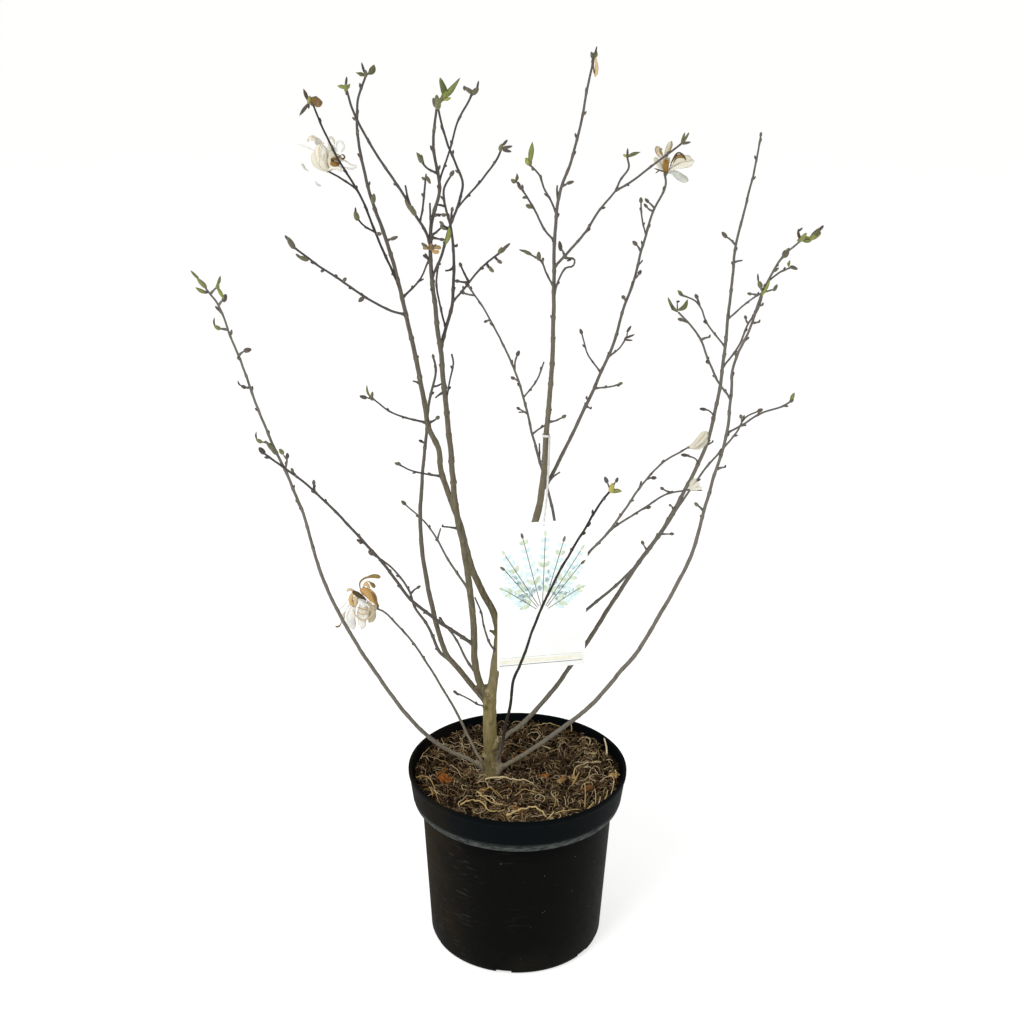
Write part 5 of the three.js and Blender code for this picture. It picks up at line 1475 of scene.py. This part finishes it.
def build_blades(name, places, outline, cells, limp, materials, limits):
    """Leaves or petals from start to end, cupped, arched and a little rumpled."""
    bm, tone_layer, margin_layer = new_sprays()
    rand = random.Random(name)
    for path, width, tone in places:
        spine = Course(path)
        slack = limp if len(path) == 2 else limp * 0.2  # a longer path has its own bends
        facing = Vector((rand.uniform(-0.5, 0.5), -1, rand.uniform(0.1, 0.7))).normalized()
        cup = rand.uniform(0.1, 0.4) * width
        arch = rand.uniform(-0.5, 1.0) * slack * spine.length
        sway = rand.uniform(-0.6, 0.6) * slack * spine.length
        twist = rand.uniform(-1, 1) * slack * 3
        phase = rand.uniform(0, ROUND)
        for vertex, out, share in grid_cells(bm, *cells):
            along = spine.way(share)
            level = along.cross(facing).normalized()
            turn = Matrix.Rotation(twist * share, 3, along)
            side = turn @ level
            over = turn @ level.cross(along)
            rise = 4 * share * (1 - share)
            ripple = limp * width * 0.7 * abs(out) * math.sin(share * 9 + phase + 1.4 * out)
            lift = arch * rise - cup * out * out * outline(share) + ripple
            place = spine.at(share) + side * (out * outline(share) * width / 2 + sway * rise)
            vertex.co = (place + over * lift) * MM
            vertex[tone_layer] = tone
            vertex[margin_layer] = max(abs(out), smooth(0.75, 1.0, share))
    return thicken(finish_sprays(name, bm, tone_layer, limits, materials), BLADE_THICK)


# ------------------------------------------------------------------ pot and soil


def spun(profile, steps):
    """A closed ring-shaped solid from a profile of (radius, height)."""
    bm = bmesh.new()
    verts = [bm.verts.new((radius, 0, height)) for radius, height in profile]
    for low, high in zip(verts, verts[1:]):
        bm.edges.new((low, high))
    bmesh.ops.spin(bm, geom=bm.verts[:] + bm.edges[:], axis=(0, 0, 1), cent=(0, 0, 0),
                   angle=2 * math.pi, steps=steps, use_merge=True)
    bmesh.ops.remove_doubles(bm, verts=bm.verts[:], dist=1e-6)
    bmesh.ops.recalc_face_normals(bm, faces=bm.faces[:])
    return bm


def sharp_edges(bm, least):
    return [e for e in bm.edges if len(e.link_faces) == 2 and e.calc_face_angle(0) > least]


def build_pot(material):
    """A round pot with a deep collar, a lip, and drain notches round its foot."""
    collar_inner = COLLAR_RADIUS - POT_WALL
    profile = [
        (0, 0), (BODY_FOOT_RADIUS - 8 * MM, 0), (BODY_FOOT_RADIUS - 2.4 * MM, 2.6 * MM),
        (BODY_FOOT_RADIUS, 9 * MM), (BODY_TOP_RADIUS, COLLAR_FOOT),
        (COLLAR_RADIUS - 3.4 * MM, COLLAR_FOOT), (COLLAR_RADIUS - 1.2 * MM, COLLAR_FOOT + 2.2 * MM),
        (COLLAR_RADIUS + 0.6 * MM, COLLAR_FOOT + 8 * MM),
        (RIM_RADIUS - 1.2 * MM, POT_HEIGHT - 7 * MM), (RIM_RADIUS, POT_HEIGHT - 5.6 * MM),
        (RIM_RADIUS, POT_HEIGHT), (RIM_RADIUS - 4 * MM, POT_HEIGHT),
        (collar_inner, COLLAR_FOOT + POT_WALL), (BODY_TOP_RADIUS - POT_WALL, COLLAR_FOOT + POT_WALL),
        (BODY_FOOT_RADIUS - POT_WALL, 14 * MM), (BODY_FOOT_RADIUS - 8 * MM, POT_FLOOR),
        (0, POT_FLOOR),
    ]
    bm = spun(profile, 96)
    bmesh.ops.bevel(bm, geom=sharp_edges(bm, 0.35), offset=0.9 * MM, segments=3, profile=0.5,
                    affect="EDGES", material=-1)
    pot = keep_bmesh("pot_shell", bm)
    cutters = bmesh.new()
    reach = BODY_FOOT_RADIUS + 20 * MM - DRAIN_INNER_RADIUS
    for i in range(DRAIN_COUNT):
        turn = Matrix.Rotation(DRAIN_TURN + i * 2 * math.pi / DRAIN_COUNT, 4, "Z")
        middle = Matrix.Translation((DRAIN_INNER_RADIUS + reach / 2, 0, 0))
        size = Matrix.Diagonal((reach, DRAIN_WIDTH, 2 * DRAIN_HEIGHT, 1))
        bmesh.ops.create_cube(cutters, size=1, matrix=turn @ middle @ size)
    notches = keep_bmesh("notches", cutters, shade=False)
    cut = pot.modifiers.new("drains", "BOOLEAN")
    cut.operation = "DIFFERENCE"
    cut.solver = "EXACT"
    cut.object = notches
    mesh = settled_mesh(pot)
    bpy.data.objects.remove(notches)
    mesh.name = "pot_shell"
    pot = keep_mesh("pot_shell", mesh, material)
    mesh.set_sharp_from_angle(angle=math.radians(42))
    return pot


def soil_height(x, y):
    """The soil's top in millimetres, level round the trunk and cloddy elsewhere."""
    flat = Vector((x, y, 0))
    away = math.hypot(x - TRUNK_FOOT.x / MM, y - TRUNK_FOOT.y / MM)
    edge = smooth(134, 112, math.hypot(x, y))
    swell = 3.0 * noise.noise(flat / 42) + 2.2 * noise.noise(flat / 17 + Vector((3, 1, 0)))
    clods = 4.2 * abs(noise.noise(flat / 7.5)) + 1.6 * abs(noise.noise(flat / 2.7))
    swell *= 0.35 + 0.65 * smooth(16, 44, away)
    rise = 1.2 * (1 - smooth(6, 26, away))
    bank = SOIL_BANK * (1 + 0.7 * y / 135) * smooth(66, 128, math.hypot(x, y))
    return SOIL_LEVEL / MM + swell * edge + clods - 1.8 + rise + bank


def build_soil(material):
    """The rough top of the root ball, with a skirt down inside the pot."""
    bm = bmesh.new()
    bmesh.ops.create_grid(bm, x_segments=SOIL_CELLS, y_segments=SOIL_CELLS, size=SOIL_EDGE)
    outside = [v for v in bm.verts if math.hypot(v.co.x, v.co.y) > SOIL_EDGE]
    bmesh.ops.delete(bm, geom=outside, context="VERTS")
    for vertex in bm.verts:
        vertex.co.z = soil_height(vertex.co.x / MM, vertex.co.y / MM) * MM
    rim = [e for e in bm.edges if e.is_boundary]
    grown = bmesh.ops.extrude_edge_only(bm, edges=rim)["geom"]
    inward = 0.92
    for vertex in (g for g in grown if isinstance(g, bmesh.types.BMVert)):
        vertex.co = Vector((vertex.co.x * inward, vertex.co.y * inward, SOIL_SKIRT))
    bmesh.ops.holes_fill(bm, edges=[e for e in bm.edges if e.is_boundary], sides=0)
    bmesh.ops.recalc_face_normals(bm, faces=bm.faces[:])
    return keep_bmesh("root_ball", bm, material)


def soil_spot(rand, reach):
    """A random place on the soil, in millimetres."""
    radius = reach * math.sqrt(rand.random())
    turn = rand.uniform(0, 2 * math.pi)
    x, y = radius * math.cos(turn), radius * math.sin(turn)
    return Vector((x, y, soil_height(x, y)))


def build_crumbs(material):
    """Loose crumbs of peat and grit on the soil."""
    bm, tone_layer, _ = new_sprays()
    rand = random.Random("crumbs")
    for _ in range(CRUMB_COUNT):
        spot = soil_spot(rand, SOIL_REACH)
        size = rand.choice(CRUMB_SIZES) * rand.uniform(0.7, 1.2)
        turn = Matrix.Rotation(rand.uniform(0, ROUND), 4, Vector((rand.random(), rand.random(), 1)))
        shape = Matrix.Diagonal((size, size * rand.uniform(0.5, 0.9), size * rand.uniform(0.4, 0.8),
                                 1))
        place = Matrix.Scale(MM, 4) @ Matrix.Translation(spot) @ turn @ shape
        made = bmesh.ops.create_icosphere(bm, subdivisions=1, radius=0.55, matrix=place)
        tone = rand.random() ** 2
        for vertex in made["verts"]:
            vertex.co += noise.noise_vector(vertex.co / MM) * 0.12 * size * MM
            vertex[tone_layer] = tone
    return keep_bmesh("soil_crumbs", bm, material, shade=False)


def root_line(rand, start, turn, length, radius, lift):
    """A thin root that snakes over the soil from a place."""
    rings = []
    point = Vector(start)
    curl = rand.uniform(-0.4, 0.4)
    count = max(4, int(length / 2.6))
    for i in range(count + 1):
        share = i / count
        high = soil_height(point.x, point.y) + radius + lift * math.sin(math.pi * share)
        rings.append((Vector((point.x, point.y, high)), radius * (1 - 0.45 * share)))
        turn += curl + rand.uniform(-0.5, 0.5)
        point += Vector((math.cos(turn), math.sin(turn), 0)) * length / count
        if math.hypot(point.x, point.y) > SOIL_REACH + 1:
            break
    return rings


def named_root(points, radius):
    """A root along given places on the soil."""
    course = Course([Vector((x, y, 0)) for x, y in points])
    count = int(course.length / 3)
    rings = []
    for i in range(count + 1):
        share = i / count
        point = course.at(share) + noise.noise_vector(course.at(share) / 9) * 1.3
        high = soil_height(point.x, point.y) + radius + 2.6
        rings.append((Vector((point.x, point.y, high)), radius * (1.1 - 0.6 * share)))
    return rings


def build_roots():
    """Fine dark and pale fibres all over the soil, and the long roots and straws."""
    rand = random.Random("roots")
    dark, pale, long = [], [], []
    for _ in range(FIBRE_COUNT):
        spot = soil_spot(rand, SOIL_REACH)
        line = root_line(rand, spot, rand.uniform(0, ROUND), rand.uniform(5, 18),
                         rand.uniform(0.18, 0.42), rand.uniform(0, 4.5))
        (pale if rand.random() < PALE_FIBRES else dark).append(line)
    for _ in range(LONG_ROOT_COUNT):
        spot = soil_spot(rand, LONG_ROOT_REACH)
        line = root_line(rand, spot, rand.uniform(0, ROUND), rand.uniform(18, 46),
                         rand.uniform(0.3, 0.65), rand.uniform(0.5, 5))
        (pale if rand.random() < PALE_LONG_ROOTS else dark).append(line)
    for points, radius in LONG_ROOTS:
        long.append(named_root(points, radius))
    for (x, y), reach, radius in STRAWS:
        foot = Vector((x, y, soil_height(x, y)))
        course = Course([foot, foot + Vector(reach) * 0.5 + Vector((1, 0, 1)), foot + Vector(reach)])
        long.append([(course.at(i / 6), radius * (1.1 - 0.08 * i)) for i in range(7)])
    return [[line for line in lines if len(line) > 2] for lines in (dark, pale, long)]


def build_chips(name, places, material):
    """Ragged chips of bark and leaf on the soil: place, length, width, turn, tilt and tone."""
    bm, tone_layer, margin_layer = new_sprays()
    rand = random.Random(name)
    for (x, y), length, width, turn, tilt, tone in places:
        cells = grid_cells(bm, 4, 7)
        spin = Matrix.Rotation(turn, 4, "Z") @ Matrix.Rotation(tilt, 4, "Y")
        curl = rand.uniform(0.1, 0.5)
        lift = 1.0 + abs(math.sin(tilt)) * width / 2
        middle = Vector((x, y, soil_height(x, y) + lift))
        for vertex, out, share in cells:
            half = leaf_outline(0.08 + 0.86 * share) * width / 2
            bend = curl * width * (out * out * 0.5 + (share - 0.5) ** 2)
            flat = Vector((out * half, (share - 0.5) * length, bend))
            flat += noise.noise_vector(flat / 3 + middle) * 0.16 * length
            vertex.co = (middle + spin @ flat) * MM
            vertex[tone_layer] = tone
            vertex[margin_layer] = abs(out)
    return thicken(keep_bmesh(name, bm, material), CHIP_THICK)


def litter_places():
    """Small chips strewn all over, and the bits of each fallen leaf close together."""
    rand = random.Random("litter")
    places = []
    for _ in range(CHIP_COUNT):
        spot = soil_spot(rand, CHIP_REACH)
        places.append(((spot.x, spot.y), rand.uniform(3, 8), rand.uniform(1.2, 3),
                       rand.uniform(0, ROUND), rand.uniform(-0.4, 0.4), rand.uniform(0, 0.75)))
    for (x, y), reach, count, tone in FALLEN:
        for _ in range(count):
            spot = (x + rand.uniform(-reach, reach), y + rand.uniform(-reach, reach))
            places.append((spot, rand.uniform(8, 14), rand.uniform(4, 8), rand.uniform(0, ROUND),
                           rand.uniform(-0.9, 0.9), tone + rand.uniform(-0.1, 0.05)))
    return places


# ------------------------------------------------------------------ label


def card_place():
    """From the card's own plane, X across, Z up and Y into it, to the label's place."""
    return Matrix.Translation(LABEL_MIDDLE) @ Matrix.Rotation(LABEL_YAW, 4, "Z")


def build_card(material):
    bm = bmesh.new()
    bmesh.ops.create_cube(bm, size=1, matrix=Matrix.Diagonal(
        (LABEL_WIDTH, LABEL_THICK, LABEL_HEIGHT, 1)))
    corners = [e for e in bm.edges if abs((e.verts[0].co - e.verts[1].co).y) > LABEL_THICK / 2]
    bmesh.ops.bevel(bm, geom=corners, offset=2.5 * MM, segments=4, profile=0.5, affect="EDGES",
                    material=-1)
    bmesh.ops.bevel(bm, geom=sharp_edges(bm, 1.0), offset=0.25 * MM, segments=2, profile=0.5,
                    affect="EDGES", material=-1)
    bmesh.ops.transform(bm, matrix=card_place(), verts=bm.verts[:])
    return keep_bmesh("label_card", bm, material, shade=False)


def print_shape(bm, outline, start, end, width, cells, slot):
    """A flat shape of ink on the card from start to end, given as (across, up) in millimetres."""
    start, end = Vector(start), Vector(end)
    along = end - start
    side = Vector((along.y, -along.x)).normalized()
    made = grid_cells(bm, 2, cells)
    front = -LABEL_THICK / 2 - (0.12 + 0.04 * slot) * MM
    for vertex, out, share in made:
        flat = start + along * share + side * out * outline(share) * width / 2
        vertex.co = Vector((flat.x * MM, front, flat.y * MM))
    for face in {f for vertex, *_ in made for f in vertex.link_faces}:
        face.material_index = slot


def even_outline(share):
    """Half the width of a straight line or band, which is the same all along."""
    return 1.0


def build_print(materials):
    """A plain pattern of leafy sprigs in a fan, and a cream band between two fine lines."""
    bm = bmesh.new()
    rand = random.Random("sprigs")
    for i in range(SPRIG_COUNT):
        lean = mix(-FAN_LEAN, FAN_LEAN, i / (SPRIG_COUNT - 1)) + rand.uniform(-0.05, 0.05)
        length = 66 + 34 * math.cos(lean) + rand.uniform(-6, 6)
        way = Vector((math.sin(lean), math.cos(lean)))
        foot = Vector(FAN_FOOT) + way * 8
        tip = Vector(FAN_FOOT) + way * length
        tip.x = min(FAN_REACH, max(-FAN_REACH, tip.x))
        print_shape(bm, even_outline, foot, tip, 0.9, 2, 2)
        for k in range(SPRIG_LEAVES):
            spot = foot.lerp(tip, 0.2 + 0.12 * k)
            for hand in (-1, 1):
                turn = lean + hand * 0.75
                end = spot + Vector((math.sin(turn), math.cos(turn))) * (15 - 1.2 * k)
                print_shape(bm, leaf_outline, spot, end, 5.6, 5, 1 if (i + 2 * k) % 5 == 0 else 0)
        print_shape(bm, leaf_outline, tip, tip + way * 9, 3.6, 5, 2 if i % 2 else 1)
    for up, width, ink in BANDS:
        print_shape(bm, even_outline, (-BAND_REACH, up), (BAND_REACH, up), width, 2, ink)
    bmesh.ops.transform(bm, matrix=card_place(), verts=bm.verts[:])
    bmesh.ops.recalc_face_normals(bm, faces=bm.faces[:])
    return thicken(keep_bmesh("label_print", bm, *materials, shade=False), INK_THICK, -1)


def build_strap(plant, material):
    """The narrow strap from the card's top to its loop round the middle stem."""
    course, law = plant.stems["middle"]
    middle = wander(course.at(STRAP_SHARE)) * MM
    inner = law(STRAP_SHARE) / 2 * MM + STRAP_THICK
    bm = bmesh.new()
    bmesh.ops.create_circle(bm, segments=28, radius=inner)
    grown = bmesh.ops.extrude_edge_only(bm, edges=bm.edges[:])["geom"]
    tops = [g for g in grown if isinstance(g, bmesh.types.BMVert)]
    bmesh.ops.translate(bm, vec=(0, 0, STRAP_WIDTH), verts=tops)
    tilt = course.way(STRAP_SHARE).to_track_quat("Z", "Y").to_matrix().to_4x4()
    bmesh.ops.transform(bm, matrix=Matrix.Translation(middle) @ tilt, verts=bm.verts[:])
    top = LABEL_MIDDLE + Vector((0, 0, LABEL_HEIGHT / 2 - 5 * MM))
    front = middle + Vector((inner + 0.4 * MM, -0.6 * inner, STRAP_WIDTH * 0.4))
    halfway = Vector((mix(front.x, top.x, 0.3), mix(front.y, top.y, 0.5), top.z + 45 * MM))
    tail = Course([front, halfway, top + Vector((0, -1.2 * MM, 0))])
    for vertex, out, share in grid_cells(bm, 2, 30):
        turn = 0.9 * (1 - share)
        side = Vector((math.cos(turn), math.sin(turn), 0))
        vertex.co = tail.at(share) + side * out * STRAP_WIDTH / 2 * (1 - 0.25 * share)
    return thicken(keep_bmesh("label_strap", bm, material), STRAP_THICK, 1)


# ------------------------------------------------------------------ camera, light and floor


def add_camera():
    """The camera whose picture has the pot's rim at RIM_PIXEL."""
    ahead = Vector((0, math.cos(CAMERA_PITCH), -math.sin(CAMERA_PITCH)))
    right = Vector((1, 0, 0))
    up = Vector((0, math.sin(CAMERA_PITCH), math.cos(CAMERA_PITCH)))
    level, lean = math.cos(CAMERA_ROLL), math.sin(CAMERA_ROLL)
    across = right * level + up * lean
    over = up * level - right * lean
    middle = IMAGE_PIXELS / 2
    ray = (ahead + across * ((RIM_PIXEL[0] - middle) / FOCAL_PIXELS)
           - over * ((RIM_PIXEL[1] - middle) / FOCAL_PIXELS))
    data = bpy.data.cameras.new("camera")
    data.sensor_width = 36
    data.lens = 36 * FOCAL_PIXELS / IMAGE_PIXELS
    camera = add_object("camera", data)
    turned = Matrix((across, over, -ahead)).transposed().to_4x4()
    place = Vector((0, 0, POT_HEIGHT)) - ray * CAMERA_DISTANCE
    camera.matrix_world = Matrix.Translation(place) @ turned
    bpy.context.scene.camera = camera


def add_light(name, place, aim, size, power):
    data = bpy.data.lights.new(name, "AREA")
    data.shape = "DISK"
    data.size = size
    data.energy = power
    way = Vector(aim) - Vector(place)
    turned = way.to_track_quat("-Z", "Y").to_matrix().to_4x4()
    add_object(name, data).matrix_world = Matrix.Translation(place) @ turned


def add_stage():
    world = bpy.data.worlds.new("studio")
    world.use_nodes = True
    sky = world.node_tree.nodes["Background"]
    sky.inputs["Color"].default_value = (1, 1, 1, 1)
    sky.inputs["Strength"].default_value = WORLD_STRENGTH
    bpy.context.scene.world = world
    bpy.context.scene.view_settings.view_transform = "Standard"
    add_light("key", (-1.6, -2.2, 2.6), (0, 0, 0.6), 1.6, KEY_POWER)
    add_light("fill", (2.2, -1.6, 1.6), (0, 0, 0.5), 1.8, FILL_POWER)
    bm = bmesh.new()
    bmesh.ops.create_grid(bm, x_segments=1, y_segments=1, size=FLOOR_REACH)
    floor = keep_bmesh("floor", bm, paint_floor(), shade=False)


# ------------------------------------------------------------------ the whole


def place_piece(obj, slot, *nodes):
    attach(obj, "root")
    if nodes:
        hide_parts(*nodes)


def build_plant():
    plant = Plant().grow()
    barks = [paint_bark(name) for name in ("bark_dark", "bark_fine", "bark_young", "bark_old")]
    boughs = [f"{entry['name']}_bough" for entry in STEMS if entry["bare"] > 0]
    sprays = [f"{entry['name']}_twigs" for entry in STEMS]
    place_piece(build_limbs(plant, barks), "bark", "trunk", *boughs)
    place_piece(build_shoots(plant, barks), "twigs", *sprays)
    small = plant.small
    scales = [paint_buds(name) for name in ("buds_dark", "buds_olive", "buds_fresh")]
    place_piece(build_buds("buds", small["bud"], 8, scales, BUD_LIMITS), "twigs")
    leaves = [paint_leaves(name) for name in ("leaves_dark", "leaves_olive", "leaves_fresh")]
    place_piece(build_blades("young_leaves", small["leaf"], leaf_outline, (4, 8), 0.12, leaves,
                             LEAF_LIMITS), "twigs")
    petals = [paint_petals(name) for name in ("petals_white", "petals_cream", "petals_rust",
                                               "petals_brown")]
    place_piece(build_blades("star_petals", small["petal"], petal_outline, (6, 16), 0.16, petals,
                             PETAL_LIMITS), "twigs")
    place_piece(build_buds("flower_hearts", small["heart"], 12, [paint_hearts()], ()), "twigs")
    return plant


def build_pot_and_soil():
    place_piece(build_pot(paint_pot()), "pot", "pot")
    place_piece(build_soil(paint_soil()), "soil", "soil")
    crumb_tones = ((0.0, "#0d0804"), (0.5, "#2a1d12"), (0.8, "#6c5539"), (1.0, "#b39c76"))
    place_piece(build_crumbs(paint_litter("peat_crumbs", crumb_tones)), "soil")
    dark, pale, long = build_roots()
    for name, lines, tones in (
            ("dark_fibres", dark, ((0.0, "#150e08"), (0.5, "#4c3a27"), (1.0, "#8c7454"))),
            ("pale_roots", pale, ((0.0, "#7b6547"), (0.5, "#b79b71"), (1.0, "#f0dcb2"))),
            ("long_roots", long, ((0.0, "#b18f50"), (0.5, "#d0b57c"), (1.0, "#ecdcb4")))):
        mesh = strand_mesh(name, lines, 4)
        mesh.name = name
        rand = random.Random(name)
        set_float(mesh, "tone", dealt_to_rings(lines, 4, [rand.random() for _ in lines]))
        place_piece(keep_mesh(name, mesh, paint_litter(name, tones)), "soil")
    litter_tones = ((0.0, "#2b1c10"), (0.35, "#5b4527"), (0.55, "#7a4a22"), (0.7, "#b39a66"),
                    (0.85, "#80501f"), (1.0, "#ad672c"))
    litter = build_chips("soil_litter", litter_places(), paint_litter("dry_litter", litter_tones))
    place_piece(litter, "soil")


def build_label(plant):
    card = build_card(paint_card())
    shades = {"aqua": ("#cde6e8", "#e6f4f3"), "green": ("#b9cbae", "#dbe6d1"),
              "dark": ("#4b4c40", "#6c6e60"), "cream": ("#eeead6", "#f5f3e4")}
    inks = [paint_print(f"ink_{name}", *pair) for name, pair in shades.items()]
    prints = build_print(inks)
    place_piece(card, "label", "label")
    place_piece(prints, "label")
    place_piece(build_strap(plant, paint_strap()), "label")


add_camera()
add_stage()
build_label(build_plant())
build_pot_and_soil()
